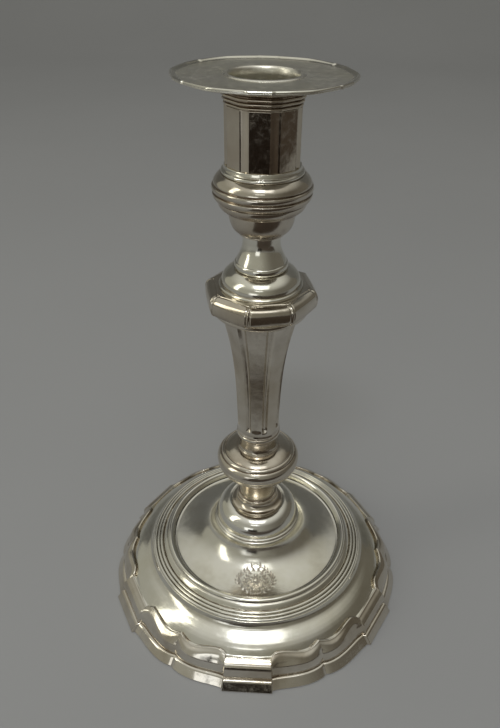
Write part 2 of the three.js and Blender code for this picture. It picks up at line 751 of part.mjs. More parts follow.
// A plain disc that a candle stands on, hollowed below to clear the head of the rod. It is a
// little smaller than the sleeve, so it can be lifted out past it.
function candleSeat() {
  const seat_radius = sleeve_inner - edge_gap;
  const pocket = head_radius + edge_gap;
  const roof = floor_top + head_height + edge_gap;
  const outline = new THREE.Path();
  outline.moveTo(0, roof);
  outline.lineTo(pocket, roof);
  outline.lineTo(pocket, floor_top);
  outline.lineTo(seat_radius, floor_top);
  outline.lineTo(seat_radius, seat_top);
  outline.lineTo(0, seat_top);
  turnedSolid('candle_seat', outline, dark_silver, 24);
}

const washer_top = spool_seat - crown_roof;
const nut_top = washer_top - washer_thickness;
const rod_end = nut_top - nut_height - rod_tail;

// The rod is headed over the floor of the bowl and pulls the whole stem down on the crown.
function tieRod() {
  const outline = new THREE.Path();
  const shank = rod_radius - 0.15;
  outline.moveTo(0, rod_end);
  outline.lineTo(shank, rod_end);
  outline.lineTo(shank, floor_top);
  outline.lineTo(head_radius, floor_top);
  outline.lineTo(head_radius, floor_top + 0.7);
  outline.lineTo(head_radius - 0.7, floor_top + head_height);
  outline.lineTo(0, floor_top + head_height);
  turnedSolid('tie_rod', outline, steel, 16);
}

// A turned solid whose outline starts and ends on the axis.
function turnedSolid(name, outline, material, segments) {
  const points = outline.getPoints(1);
  const geometry = new THREE.LatheGeometry(points, segments);
  geometry.rotateX(Math.PI / 2);
  place(name, geometry, material);
}

function rodWasher() {
  const outline = new THREE.Path();
  outline.moveTo(rod_radius + 0.2, nut_top);
  outline.lineTo(washer_radius, nut_top);
  outline.lineTo(washer_radius, washer_top);
  outline.lineTo(rod_radius + 0.2, washer_top);
  turned('rod_washer', outline, steel, { stations: roundStations(24) });
}

function rodNut() {
  const shape = new THREE.Shape();
  const corner = nut_across_flats / 2 / Math.cos(Math.PI / 6);
  for (let i = 0; i < 6; i += 1) {
    const angle = i * Math.PI / 3;
    const point = [corner * Math.cos(angle), corner * Math.sin(angle)];
    if (i === 0) shape.moveTo(...point);
    else shape.lineTo(...point);
  }
  shape.closePath();
  const hole = new THREE.Path();
  hole.absarc(0, 0, rod_radius, 0, 2 * Math.PI, true);
  shape.holes.push(hole);
  const extrusion = { depth: nut_height, bevelEnabled: false, curveSegments: 8 };
  const geometry = new THREE.ExtrudeGeometry(shape, extrusion);
  const mesh = place('rod_nut', geometry, steel);
  mesh.position.z = nut_top - nut_height;
}

// ---------------------------------------------------------------- assembly

footBand();
borderMoulding();
slopePlate();
reededStepRing();
wellDome();
crownShell();
spoolCollar();
knopLowerShell();
knopUpperShell();
shaftCollar();
flutedShaft();
shoulderUnderRing();
shoulderBand();
shoulderCap();
neckRing();
socketNeck();
socketCup();
socketBowl();
socketFootRing();
socketTube();
socketLip();
candleSeat();
tieRod();
rodWasher();
rodNut();
dripPanPlate();
dripPanRim();
dripPanSleeve();

export default group;
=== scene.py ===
# %% [markdown]
# # A silver candlestick, piece by piece
# The candlestick is a stack of hollow silver castings on one hidden rod, with a raised foot
# below and a loose drip pan on top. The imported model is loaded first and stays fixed: each
# piece made here stands in the place of one of its nodes and moves with the same body.

# %% Load the frame
import json
import math

import bpy
import numpy as np
from mathutils import Matrix, Vector

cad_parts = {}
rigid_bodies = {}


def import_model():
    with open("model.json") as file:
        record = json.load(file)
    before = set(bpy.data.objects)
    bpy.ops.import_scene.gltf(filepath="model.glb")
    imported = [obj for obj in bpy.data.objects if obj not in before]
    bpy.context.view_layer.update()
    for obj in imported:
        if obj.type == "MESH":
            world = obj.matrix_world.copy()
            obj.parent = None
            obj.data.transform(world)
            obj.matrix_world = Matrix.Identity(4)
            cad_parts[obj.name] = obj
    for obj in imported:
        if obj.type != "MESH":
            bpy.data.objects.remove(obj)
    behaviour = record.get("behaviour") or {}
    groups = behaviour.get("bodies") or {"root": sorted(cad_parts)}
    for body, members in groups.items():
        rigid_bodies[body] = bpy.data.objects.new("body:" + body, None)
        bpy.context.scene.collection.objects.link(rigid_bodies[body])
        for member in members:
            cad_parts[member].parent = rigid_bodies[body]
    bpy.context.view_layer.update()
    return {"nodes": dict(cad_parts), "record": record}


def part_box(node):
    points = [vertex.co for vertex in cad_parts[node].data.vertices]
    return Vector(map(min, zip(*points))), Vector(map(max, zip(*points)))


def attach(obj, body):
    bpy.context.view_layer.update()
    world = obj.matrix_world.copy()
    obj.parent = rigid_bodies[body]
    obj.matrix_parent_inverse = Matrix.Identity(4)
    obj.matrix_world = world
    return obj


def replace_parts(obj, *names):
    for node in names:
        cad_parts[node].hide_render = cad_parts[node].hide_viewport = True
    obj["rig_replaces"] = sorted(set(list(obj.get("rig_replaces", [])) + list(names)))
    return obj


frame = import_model()
nodes = frame["nodes"]
print("nodes in the frame:", len(nodes))

# %% [markdown]
# ## Where each piece sits
# Every piece is turned about the upright axis, so two numbers place it: the height of its
# lowest edge and the radius of its widest one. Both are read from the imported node's own box
# and vertices, in millimetres, because silversmiths' sizes are easier to read that way.

# %% Seats and reaches
MM = 0.001


def seat(node):
    """Height of a node's lowest point, in millimetres."""
    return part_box(node)[0].z / MM


def crest(node):
    """Height of a node's highest point, in millimetres."""
    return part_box(node)[1].z / MM


def reach(node):
    """Largest radius of a node, in millimetres."""
    co = np.array([v.co for v in nodes[node].data.vertices])
    return float(np.hypot(co[:, 0], co[:, 1]).max()) / MM


for name in ("foot_band", "fluted_shaft", "socket_bowl", "drip_pan_plate"):
    print(f"{name}: seat {seat(name):.1f} mm, reach {reach(name):.2f} mm")

# %% [markdown]
# ## Outlines with soft arrises
# A turned piece is drawn as one closed outline of radius and height. Blender's Screw modifier
# could turn a curve, but silver shows every facet, so the outline is built here point by
# point: lines and curves are joined, and each corner is replaced by a small round. Real
# arrises are never sharp, and that round is what catches the light.

# %% The outline helper
CURVE_STEPS = 14
ROUND_STEPS = 4


class Outline:
    """A closed outline in (radius, height). Every segment ends in a corner to be softened."""

    def __init__(self, radius, height):
        self.at = np.array([radius, height], float)
        self.segments = []

    def line(self, radius, height):
        end = np.array([radius, height], float)
        self.segments.append(np.array([self.at, end]))
        self.at = end
        return self

    def quad(self, radius, height, end_radius, end_height):
        t = np.linspace(0, 1, CURVE_STEPS)[:, None]
        a, b, c = self.at, np.array([radius, height]), np.array([end_radius, end_height], float)
        self.segments.append((1 - t) ** 2 * a + 2 * t * (1 - t) * b + t ** 2 * c)
        self.at = c
        return self

    def cubic(self, r1, z1, r2, z2, end_radius, end_height):
        t = np.linspace(0, 1, 2 * CURVE_STEPS)[:, None]
        a, b = self.at, np.array([r1, z1])
        c, d = np.array([r2, z2]), np.array([end_radius, end_height], float)
        self.segments.append((1 - t) ** 3 * a + 3 * t * (1 - t) ** 2 * b
                             + 3 * t ** 2 * (1 - t) * c + t ** 3 * d)
        self.at = d
        return self

    def bead(self, end_height, size):
        """A half-round that bulges out by size on the way up to end_height."""
        start_radius, start_height = self.at
        angle = np.linspace(0, math.pi, 2 * CURVE_STEPS)
        middle = (start_height + end_height) / 2
        half = (end_height - start_height) / 2
        points = np.column_stack([start_radius + size * np.sin(angle), middle - half * np.cos(angle)])
        self.segments.append(points)
        self.at = points[-1]
        return self


def trimmed(segment, before, after):
    """A run of points with a length cut off at each end."""
    steps = np.hypot(*np.diff(segment, axis=0).T)
    along = np.concatenate([[0], np.cumsum(steps)])
    inside = segment[(along > before + 1e-6) & (along < along[-1] - after - 1e-6)]
    ends = [np.array([np.interp(s, along, segment[:, k]) for k in (0, 1)])
            for s in (before, along[-1] - after)]
    return np.vstack([ends[0], inside, ends[1]])


def softened(outline, arris):
    """The points of a closed outline, with a round of about this size on every corner."""
    segments = [s for s in outline.segments if np.hypot(*(s[-1] - s[0])) > 1e-6]
    if np.hypot(*(segments[-1][-1] - segments[0][0])) > 1e-6:
        segments.append(np.array([segments[-1][-1], segments[0][0]]))
    lengths = [np.hypot(*np.diff(s, axis=0).T).sum() for s in segments]
    count = len(segments)
    cuts = []
    for i in range(count):
        before, after = segments[i - 1], segments[i]
        a, b = before[-1] - before[-2], after[1] - after[0]
        turn = abs(math.degrees(math.atan2(a[0] * b[1] - a[1] * b[0], a @ b)))
        cuts.append(0.0 if turn < 12 else min(arris, 0.4 * lengths[i - 1], 0.4 * lengths[i]))
    points = []
    for i in range(count):
        cut, next_cut = cuts[i], cuts[(i + 1) % count]
        run = trimmed(segments[i], cut, next_cut)
        if len(segments[i]) == 2 and lengths[i] > 1.2:
            near = [0.12 / lengths[i], 1 - 0.12 / lengths[i]]
            run = np.vstack([run[:1]] + [run[:1] + (run[-1] - run[0]) * t for t in near] + [run[-1:]])
        if cut > 0:
            corner = segments[i][0]
            start = trimmed(segments[i - 1], 0, cut)[-1]
            t = np.linspace(0, 1, ROUND_STEPS + 2)[1:-1, None]
            points.append((1 - t) ** 2 * start + 2 * t * (1 - t) * corner + t ** 2 * run[0])
        points.append(run)
    points = np.vstack(points)
    keep = np.hypot(*(points - np.roll(points, 1, axis=0)).T) > 0.01
    return points[keep]


sample = Outline(10, 0).line(12, 0).line(12, 5).line(10, 5)
print("a softened square section has", len(softened(sample, 0.3)), "points")

# %% [markdown]
# ## Hollows and arrises as numbers
# Polish wears the arrises bright and leaves tarnish in the hollows. The outline already knows
# which is which: where it turns outwards it is an arris, where it turns inwards a hollow. The
# turn over a short reach to each side is stored on the mesh as an attribute, so a material
# can read it without guessing from the shading.

# %% How far an outline turns at each point
REACH = 0.9          # mm looked at on each side of a point


def turning(points):
    """Signed turn of a closed outline at each point: 1 is a sharp arris, -1 a sharp hollow."""
    step = np.hypot(*(np.roll(points, -1, axis=0) - points).T)
    along = np.concatenate([[0], np.cumsum(step)])
    total = along[-1]
    loop = np.vstack([points, points[:1]])

    def at(s):
        s = np.mod(s, total)
        return np.column_stack([np.interp(s, along, loop[:, k]) for k in (0, 1)])

    here = along[:-1]
    a, b = at(here) - at(here - REACH), at(here + REACH) - at(here)
    turn = np.arctan2(a[:, 0] * b[:, 1] - a[:, 1] * b[:, 0], (a * b).sum(1))
    area = np.sum(points[:, 0] * np.roll(points[:, 1], -1) - points[:, 1] * np.roll(points[:, 0], -1))
    return np.clip(turn * np.sign(area) / math.radians(70), -1, 1)


print("turns of the sample:", np.round(turning(softened(sample, 0.3))[:6], 2))

# %% [markdown]
# ## Turning an outline into a mesh
# The outline is set round the axis at many stations. A plan may change the radius from one
# station to the next, which gives flats, flutes and lobes. More stations are put close to
# a corner of the plan, so that the corner stays crisp and the flat beside it stays flat.

# %% Stations and the turning helper
def stations(count, corners=(), near=(0.12, 0.35, 0.8, 1.5)):
    """Angles in degrees from the front, evenly spaced, with more of them about each corner."""
    angles = list(np.arange(count) * 360 / count)
    for corner in corners:
        angles += [corner] + [corner + side * n for n in near for side in (-1, 1)]
    angles = np.unique(np.round(np.mod(angles, 360), 4))
    return angles[np.diff(np.append(angles, angles[0] + 360)) > 0.05]


def turned(name, outline, node, plan=None, angles=None, arris=0.18, body="stick"):
    """Makes a closed turned piece that stands for one CAD node."""
    points = softened(outline, arris) if isinstance(outline, Outline) else outline
    angles = stations(224) if angles is None else angles
    turn = turning(points)
    theta = np.radians(angles)[:, None]
    radius = np.repeat(points[:, 0][None, :], len(angles), axis=0)
    height = np.repeat(points[:, 1][None, :], len(angles), axis=0)
    if plan:
        radius, height = plan(radius, height, angles[:, None])
    co = np.stack([radius * np.sin(theta), -radius * np.cos(theta), height], axis=2) * MM
    m, n = radius.shape
    i, j = np.meshgrid(np.arange(m), np.arange(n), indexing="ij")
    i2, j2 = (i + 1) % m, (j + 1) % n
    quads = np.stack([i * n + j, i2 * n + j, i2 * n + j2, i * n + j2], axis=2).reshape(-1, 4)
    area = np.sum(points[:, 0] * np.roll(points[:, 1], -1) - points[:, 1] * np.roll(points[:, 0], -1))
    if area < 0:
        quads = quads[:, ::-1]
    mesh = bpy.data.meshes.new(name)
    mesh.from_pydata(co.reshape(-1, 3).tolist(), [], quads.tolist())
    mesh.polygons.foreach_set("use_smooth", np.ones(len(quads), bool))
    store(mesh, "arris", np.tile(np.clip(turn, 0, 1), m))
    store(mesh, "hollow", np.tile(np.clip(-turn, 0, 1), m))
    return stand_for(name, mesh, node, body)


def store(mesh, name, values):
    """Puts one number per vertex on the mesh."""
    attribute = mesh.attributes.new(name, "FLOAT", "POINT")
    attribute.data.foreach_set("value", np.asarray(values, np.float32))


def stand_for(name, mesh, node, body):
    """Links a mesh as a piece that rides on a body and stands for a CAD node."""
    obj = bpy.data.objects.new(name, mesh)
    bpy.context.scene.collection.objects.link(obj)
    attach(obj, body)
    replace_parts(obj, node)
    lo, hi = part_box(node)
    co = np.array([v.co for v in mesh.vertices])
    gap = max(np.abs(co.min(0) - np.array(lo)).max(), np.abs(co.max(0) - np.array(hi)).max()) / MM
    print(f"{name}: {len(mesh.vertices)} vertices, within {gap:.2f} mm of its node's box")
    return obj


# %% [markdown]
# ## Plans: flats, flutes and lobes
# The foot and the pan have six panels, and the stem has eight sides. One helper folds any
# angle into the distance from the middle of the nearest side, and the plans are written with
# that. The narrow strips of the shaft and the tube are hollow, the broad sides are flat.

# %% Plans
LOBES, SIDES = 6, 8
PANEL_TURN, SIDE_TURN, SHOULDER_TURN = -2.5, -5.5, 10.5
CUSP = 180 / LOBES
CORNER = 180 / SIDES
STRIP = 7.5          # degrees, half of a narrow strip
FLAT = CORNER - STRIP


def folded(degrees, count, turn):
    """Degrees from the middle of the nearest of count sides."""
    sector = 360 / count
    return np.abs(np.mod(degrees - turn + sector / 2, sector) - sector / 2)


def corners_of(offsets, count, turn):
    """The plan's corner angles, repeated and mirrored all the way round."""
    return [turn + k * 360 / count + s * o for k in range(count) for o in offsets for s in (-1, 1)]


def fluted(depth, clear=0.0):
    """Broad flats with hollow strips between them, for radii beyond clear."""
    def plan(radius, height, degrees):
        angle = folded(degrees, SIDES, SIDE_TURN)
        flat = radius * math.cos(math.radians(FLAT)) / np.cos(np.radians(angle))
        share = (angle - CORNER) / STRIP
        strip = radius - depth * (1 - share ** 2)
        shaped = np.where(angle <= FLAT, flat, strip)
        return np.where(radius > clear, shaped, radius), height
    return plan


FLUTED_ANGLES = stations(200, corners_of([FLAT], SIDES, SIDE_TURN))
print("a fluted piece has", len(FLUTED_ANGLES), "stations")


# %% [markdown]
# ## The foot's plan
# Between two flat panels the real border steps in, swells into two lobes and dips to a cusp
# where they meet. No simple curve does that, so the plan is a short table of how far it lies
# inside a round, angle by angle. The outer and the inner edge of the border have their own
# tables, because the casting was chased by hand and its two edges don't run parallel.

# %% Relief of the foot's edge
def smooth(t):
    """Eases 0 to 1 with a flat start and a flat end."""
    t = np.clip(t, 0, 1)
    return t * t * (3 - 2 * t)


PANEL = 8.8          # degrees, half of a panel
RELIEF_AT = [0, PANEL, PANEL + 0.5, 11.5, 14, 17, 20, 23, 25.5, 27.5, 28.8, CUSP]
OUTER_RELIEF = [0, 0, -1.35, -1.65, -1.6, -1.3, -1.0, -0.8, -0.85, -1.1, -1.4, -2.0]
INNER_RELIEF = [0, 0, -0.75, -1.95, -1.9, -1.45, -0.8, -0.35, -0.5, -1.0, -1.4, -1.9]


def relief_table(values):
    """Millimetres in or out at each angle, with the knots of the drawing rounded off."""
    fine = np.linspace(0, CUSP, 601)
    table = np.interp(fine, RELIEF_AT, values)
    kernel = np.hanning(31) / np.hanning(31).sum()
    onward = table[-1] + np.arange(1, 16) * (table[-1] - table[-2])
    padded = np.concatenate([np.full(15, table[0]), table, onward])
    rounded = np.convolve(padded, kernel, "valid")
    sharp = np.clip((fine - PANEL - 0.5) / 0.8, 0, 1)
    return fine, table + (rounded - table) * sharp


FINE, OUTER = relief_table(OUTER_RELIEF)
INNER = relief_table(INNER_RELIEF)[1]


def lobed(radius, inner, degrees):
    """The foot's plan: a flat panel, a step and a bite, a lobe, and a cusp to the next lobe."""
    angle = folded(degrees, LOBES, PANEL_TURN)
    panel = radius / np.cos(np.radians(np.minimum(angle, PANEL)))
    outer_relief, inner_relief = np.interp(angle, FINE, OUTER), np.interp(angle, FINE, INNER)
    return panel + outer_relief + (inner_relief - outer_relief) * inner


FOOT_ANGLES = stations(480, corners_of([PANEL, PANEL + 0.5], LOBES, PANEL_TURN)
                       + corners_of([CUSP], LOBES, PANEL_TURN), near=(0.1, 0.3))
print("the foot has", len(FOOT_ANGLES), "stations")

# %% [markdown]
# ## The foot
# The foot is a casting with six moulded panels and a pair of lobes between each two. It is
# made in two pieces here, as on the real one: the band that stands on the table, and the
# quarter-round moulding that frames the slope. A narrow groove parts them.

# %% Sizes of the foot
SHEET = 1.6          # mm, thickness of the slope's silver
foot_apothem = reach("foot_band") * math.cos(math.radians(PANEL))
foot_height = seat("border_moulding")
band_top = foot_apothem - 3.0
band_inner = band_top - 3.4
border_outer = band_top - 0.9
border_inner = border_outer - 5.4
border_top = crest("border_moulding")
flange = seat("slope_plate")
step_outer = reach("reeded_step_ring") + 0.3
slope_top = crest("slope_plate")
slope_low = border_top - 0.3
rim = border_inner - 0.3
run, rise = rim - step_outer, slope_top - slope_low

SLOPE_IN = [0, 0.105, 0.21, 0.342, 0.474, 0.605, 0.737, 0.842, 0.912, 0.965, 1]
SLOPE_UP = [0, 0.135, 0.25, 0.365, 0.460, 0.540, 0.615, 0.690, 0.770, 0.875, 1]
ogee_in = np.linspace(0, 1, 401)
ogee_up = np.interp(ogee_in, SLOPE_IN, SLOPE_UP)
window = np.hanning(51) / np.hanning(51).sum()
ends = [2 * ogee_up[0] - ogee_up[25:0:-1], ogee_up, 2 * ogee_up[-1] - ogee_up[-2:-27:-1]]
ogee_up = np.convolve(np.concatenate(ends), window, "valid")


def slope_height(radius):
    """Height of the slope at a radius, the same all the way round."""
    return slope_low + rise * np.interp((rim - radius) / run, ogee_in, ogee_up)


print(f"the slope climbs {rise:.1f} mm over {run:.1f} mm")

# %% [markdown]
# ## The foot band
# The lowest band is nearly upright and a little wider at the table than at the top. A loft
# between two curves could make it, but the turning helper with the foot's plan gives the
# same shape and keeps its corners crisp.

# %% Foot band
outline = Outline(band_inner, 0).line(foot_apothem - 0.5, 0).line(foot_apothem, 0.5)
outline.line(band_top + 0.5, foot_height - 0.7).line(band_top - 0.1, foot_height - 0.15)
outline.line(band_top - 0.8, foot_height).line(band_inner, foot_height)
turned("foot_band_piece", outline, "foot_band", lambda r, z, a: (lobed(r, 0, a), z),
       FOOT_ANGLES, 0.25)

# %% [markdown]
# ## The border moulding
# A quarter-round frames the slope. Where the lobes bite inwards, its inner arris has to climb
# with the slope, or a gap would open between them. The plan may move heights as well as
# radii, so the arris is lifted by just as much as the slope rises there.

# %% Border moulding
outline = Outline(border_outer - 2.4, foot_height).line(border_outer - 0.5, foot_height)
outline.line(border_outer - 0.4, foot_height + 0.8).line(border_outer, foot_height + 1.0)
outline.quad(border_outer + 0.2, border_top - 2.0, border_inner + 1.5, border_top - 0.55)
outline.quad(border_inner + 0.9, border_top - 0.3, border_inner + 0.6, border_top)
outline.line(border_inner, border_top).line(border_inner, flange)
outline.line(border_inner - 2.4, flange).line(border_inner - 2.4, flange - 1.6)
outline.line(border_inner + 1.2, flange - 1.6).line(border_outer - 2.4, foot_height + 4)


def border_plan(radius, height, degrees):
    share = np.clip((height - foot_height) / (border_top - foot_height), 0, 1)
    shaped = lobed(radius, share, degrees)
    bite = np.interp(folded(degrees, LOBES, PANEL_TURN), FINE, INNER)
    lift = slope_height(rim + bite) - slope_low
    return shaped, height + lift * smooth((height - flange) / (border_top - flange))


turned("border_moulding_piece", outline, "border_moulding", border_plan, FOOT_ANGLES, 0.18)

# %% [markdown]
# ## The slope
# Inside the border the sheet rises in an ogee. Its rim follows the lobes and its top is round,
# so the plan fades from lobed to round on the way up. A sheet bent in a modifier would crease
# at the lobes; turning it round and trimming only its rim keeps the slope smooth.

# %% Slope plate, round above and trimmed by the lobes at its rim
step_inner = step_outer - 11.2
TUCK = 0.55          # mm that the rim goes under the border's arris
shares = np.linspace(0, 1, 46)
top_side = [(rim - run * share, slope_height(rim - run * share)) for share in shares]
outline = Outline(rim, slope_low)
outline.segments.append(np.array(top_side))
outline.at = np.array([step_outer, slope_top])
outline.line(step_inner - 6, slope_top).line(step_inner - 6, slope_top - SHEET)
outline.line(step_outer, slope_top - SHEET)
outline.segments.append(np.array([(r, z - SHEET) for r, z in top_side[::-1]]))


def slope_plan(radius, height, degrees):
    share = np.clip((radius - step_outer) / run, 0, 1)
    shaped = radius + (lobed(radius, 1, degrees) - radius) * share ** 4
    tucked = np.where(share > 0.985, TUCK, 0)
    return shaped + tucked, height + slope_height(shaped) - slope_height(radius)


turned("slope_plate_piece", outline, "slope_plate", slope_plan, FOOT_ANGLES, 0.12)

# %% [markdown]
# ## The reeded step
# Three fine reeds and a raised arris finish the top of the slope, and the hollow between them
# keeps a dark line of tarnish, deepened by painted shade. The three reeds are one shape repeated
# inwards and upwards, so a loop draws them.

# %% Reeded step ring
step_top = crest("reeded_step_ring")
edge = step_outer - 0.3
outline = Outline(step_inner, slope_top).line(edge, slope_top)
radius, height = edge, slope_top
for _ in range(3):
    outline.quad(radius + 0.15, height + 1.35, radius - 0.9, height + 1.3)
    outline.quad(radius - 1.35, height + 1.25, radius - 1.6, height + 0.45)
    radius, height = radius - 1.6, height + 0.45
outline.quad(radius - 0.9, height + 1.3, step_inner + 4.2, step_top - 1.9)
outline.line(step_inner + 3.5, step_top - 1.6)
outline.quad(step_inner + 3.0, step_top, step_inner + 1.9, step_top - 0.02)
outline.quad(step_inner + 0.9, step_top - 0.1, step_inner, step_top - 2.3)
turned("reeded_step_piece", outline, "reeded_step_ring", angles=stations(320), arris=0.12)

# %% [markdown]
# ## The well and its engraving
# The dome inside the step is the broadest plain surface and carries the engraving. An engraver
# cuts fine bright lines that stand out against the polish. The lines are drawn here as
# leafy branches round a flower, in millimetres on the dome, and each vertex near a line
# stores how deep the cut is there, for the material to darken and bump. The mesh is finest
# under it.

# %% The engraved spray
def leaf(base, angle, length, width, count=9):
    """A pointed leaf with a mid rib."""
    t = np.linspace(0, 1, count)
    side = width * np.sin(math.pi * t) * (1 - 0.35 * t)
    along = np.column_stack([np.cos(angle) * t * length, np.sin(angle) * t * length])
    across = np.column_stack([-np.sin(angle) * side, np.cos(angle) * side])
    return [base + along + across, base + along - across, base + along * 0.8]


def branch(side, bulge, low, high, pairs, length):
    """A bowed twig with leaves on both sides of it."""
    t = np.linspace(0, 1, 40)
    bow = side * bulge * np.sin(math.pi * t) ** 0.8 + side * 0.5
    twig = np.column_stack([bow, low + (high - low) * t])
    strokes = [twig]
    for k in np.linspace(2, 36, pairs).astype(int):
        heading = math.atan2(*(twig[k + 1] - twig[k])[::-1])
        for turn in (-0.75, 0.75):
            strokes += leaf(twig[k], heading + turn, length, 0.34)
    return strokes


def spray():
    """Two leafy branches round a small flower, x across and y up, in millimetres."""
    strokes = []
    for side in (-1, 1):
        strokes += branch(side, 8.2, -7.6, 7.2, 11, 1.9)
        strokes += branch(side, 4.4, -5.6, 5.4, 7, 1.5)
    for angle in np.linspace(0, 2 * math.pi, 10, endpoint=False):
        strokes += leaf(np.array([0.7 * math.cos(angle), 0.7 * math.sin(angle)]), angle, 2.3, 0.45)
    return strokes


def depth_of_cut(x, y, strokes, width=0.19):
    """0 to 1 at each point, from the distance to the nearest stroke."""
    cut = np.zeros(x.shape)
    for stroke in strokes:
        for a, b in zip(stroke[:-1], stroke[1:]):
            d = b - a
            t = np.clip(((x - a[0]) * d[0] + (y - a[1]) * d[1]) / max(d @ d, 1e-9), 0, 1)
            gap = np.hypot(x - a[0] - t * d[0], y - a[1] - t * d[1])
            cut = np.maximum(cut, 1 - smooth(gap / width))
    return cut


design = spray()
print("the spray has", len(design), "strokes")

# %% [markdown]
# ## Dividing only where it is needed
# Fine detail needs a fine mesh, but not everywhere. A subdivision modifier would divide the
# whole piece, so a helper adds points only to the sides of the outline that a test chooses.

# %% A helper that divides chosen sides
def divided(points, step, chosen):
    """Adds points a step apart or less on the chosen sides of a closed outline."""
    finer = []
    for a, b in zip(points, np.roll(points, -1, axis=0)):
        count = max(1, int(np.hypot(*(b - a)) / step)) if chosen(a, b) else 1
        finer += [a + (b - a) * t for t in np.linspace(0, 1, count + 1)[:-1]]
    return np.array(finer)


print("a square divided at 1 mm has", len(divided(softened(sample, 0.3), 1, lambda a, b: True)))

# %% [markdown]
# ## The well dome
# The dome is a thin bell of sheet, raised with a hammer and planished smooth. Its outline is
# one long curve, with stations set close together only in front, where the engraving lies.

# %% Well dome
crown_radius = reach("dome_crown")
crown_seat = seat("dome_crown")
well_outer = step_inner - 0.3
well_run = well_outer - crown_radius
outline = Outline(well_outer - 5.7, slope_top).line(well_outer, slope_top)
outline.line(well_outer, step_top - 2.9).line(well_outer - 1.0, step_top - 3.1)
outline.cubic(well_outer - 0.45 * well_run, step_top - 2.6, crown_radius + 0.12 * well_run,
              step_top - 0.5, crown_radius, crown_seat - 1.4)
outline.line(crown_radius - 0.3, crown_seat).line(crown_radius - 4.5, crown_seat)
outline.line(crown_radius - 4.5, crown_seat - 3.2)
outline.cubic(crown_radius + 0.1 * well_run, step_top - 3.4, well_outer - 0.5 * well_run,
              slope_top + 1.6, well_outer - 5.7, slope_top)
SPRAY_RADIUS, SPRAY_HALF = 33.0, 9.5      # where the spray's middle lies, and how far it goes


def under_the_spray(a, b):
    """True for a side of the outline on the dome's upper face, below the engraving."""
    top = min(a[1], b[1]) > slope_top + 1.0 and abs(a[0] - SPRAY_RADIUS) < SPRAY_HALF + 1
    return top and a[0] > b[0] and a[1] < b[1] + 0.01


points = divided(softened(outline, 0.15), 0.16, under_the_spray)
well_angles = np.concatenate([np.arange(-19, 19, 0.26), np.arange(20, 340, 1.5)])
well_angles = np.unique(np.round(np.mod(well_angles, 360), 3))
well = turned("well_dome_piece", points, "well_dome", angles=well_angles)

# %% [markdown]
# ## The cut as a number
# The drawing is flat and the dome is not, so each vertex is first unrolled to millimetres
# across and up. The depth of cut there is then stored on the mesh for the material to read.

# %% Cutting the spray into the dome
co = np.array([v.co for v in well.data.vertices]) / MM
flat_radius = np.hypot(co[:, 0], co[:, 1])
front = np.arctan2(co[:, 0], -co[:, 1])
upper = co[:, 2] > slope_top + 1.6
cut = np.zeros(len(co))
near = (np.abs(front) < 0.4) & upper & (np.abs(flat_radius - SPRAY_RADIUS) < SPRAY_HALF)
across, upward = front[near] * SPRAY_RADIUS, (SPRAY_RADIUS - flat_radius[near]) * 1.05
cut[near] = depth_of_cut(across, upward, design)
store(well.data, "cut", cut)
print("engraved vertices:", int((cut > 0.1).sum()))

# %% [markdown]
# ## The crown
# A turned cap closes the top of the well. It has a fine double groove at its foot, swells to a
# round shoulder, and is dished where the stem stands on it.

# %% Dome crown
spool_seat = seat("spool_collar")
crown_top = spool_seat + 0.5
recess = 13.2
outline = Outline(crown_radius - 4.2, crown_seat).line(crown_radius - 0.4, crown_seat)
outline.bead(crown_seat + 1.3, 0.4)
outline.line(crown_radius - 0.75, crown_seat + 1.6).line(crown_radius - 0.75, crown_seat + 1.9)
outline.bead(crown_seat + 3.0, 0.3)
outline.line(crown_radius - 1.2, crown_seat + 3.2)
outline.cubic(crown_radius - 1.5, crown_top - 2.6, recess + 3.0, crown_top, recess + 0.7, crown_top)
outline.line(recess, crown_top - 0.25).line(recess - 0.4, spool_seat).line(5.0, spool_seat)
outline.line(5.0, spool_seat + 1.4).line(3.0, spool_seat + 1.4).line(3.0, spool_seat - 2.6)
outline.line(recess, spool_seat - 2.6).line(crown_radius - 4.2, crown_seat + 3)
turned("dome_crown_piece", outline, "dome_crown", arris=0.15, angles=stations(256))

# %% [markdown]
# ## The spool
# A waisted spool stands on the crown and carries the knop. Its outline goes up the outside
# and comes down the bore, so it stays a closed solid. Every stem piece closes in the same
# way, with a spigot on its head and a recess in its foot, so a helper does that.

# %% Spool collar
BORE, SPIGOT, SPIGOT_HEIGHT = 3.0, 5.0, 1.4


def bored(outline, foot, head, spigot=True):
    """Closes a stem piece: a spigot on top, the rod's hole, and a recess for the spigot below."""
    if spigot:
        outline.line(SPIGOT, head).line(SPIGOT, head + SPIGOT_HEIGHT)
        outline.line(BORE, head + SPIGOT_HEIGHT)
    else:
        outline.line(BORE, head)
    pocket = foot + SPIGOT_HEIGHT + 0.2
    return outline.line(BORE, pocket).line(SPIGOT + 0.15, pocket).line(SPIGOT + 0.15, foot)


knop_seat = seat("knop_lower_shell")
spool = reach("spool_collar") - 3.2
bead_foot = spool_seat + 4.2
outline = Outline(spool + 3.2, spool_seat).line(spool + 3.2, spool_seat + 0.5)
outline.quad(spool + 0.5, spool_seat + 1.0, spool + 0.2, bead_foot - 0.3)
outline.line(spool - 0.1, bead_foot).bead(bead_foot + 1.6, 0.65)
outline.line(spool - 0.5, bead_foot + 1.8).line(spool - 0.5, bead_foot + 2.3)
outline.quad(spool - 0.9, knop_seat - 6, spool + 0.6, knop_seat)
turned("spool_collar_piece", bored(outline, spool_seat, knop_seat), "spool_collar", arris=0.15)

# %% [markdown]
# ## The knop
# The knop is two cups joined at the belly. One turned ball could stand for both, but the real
# seam shows as a fine line, and two pieces give that line for nothing.

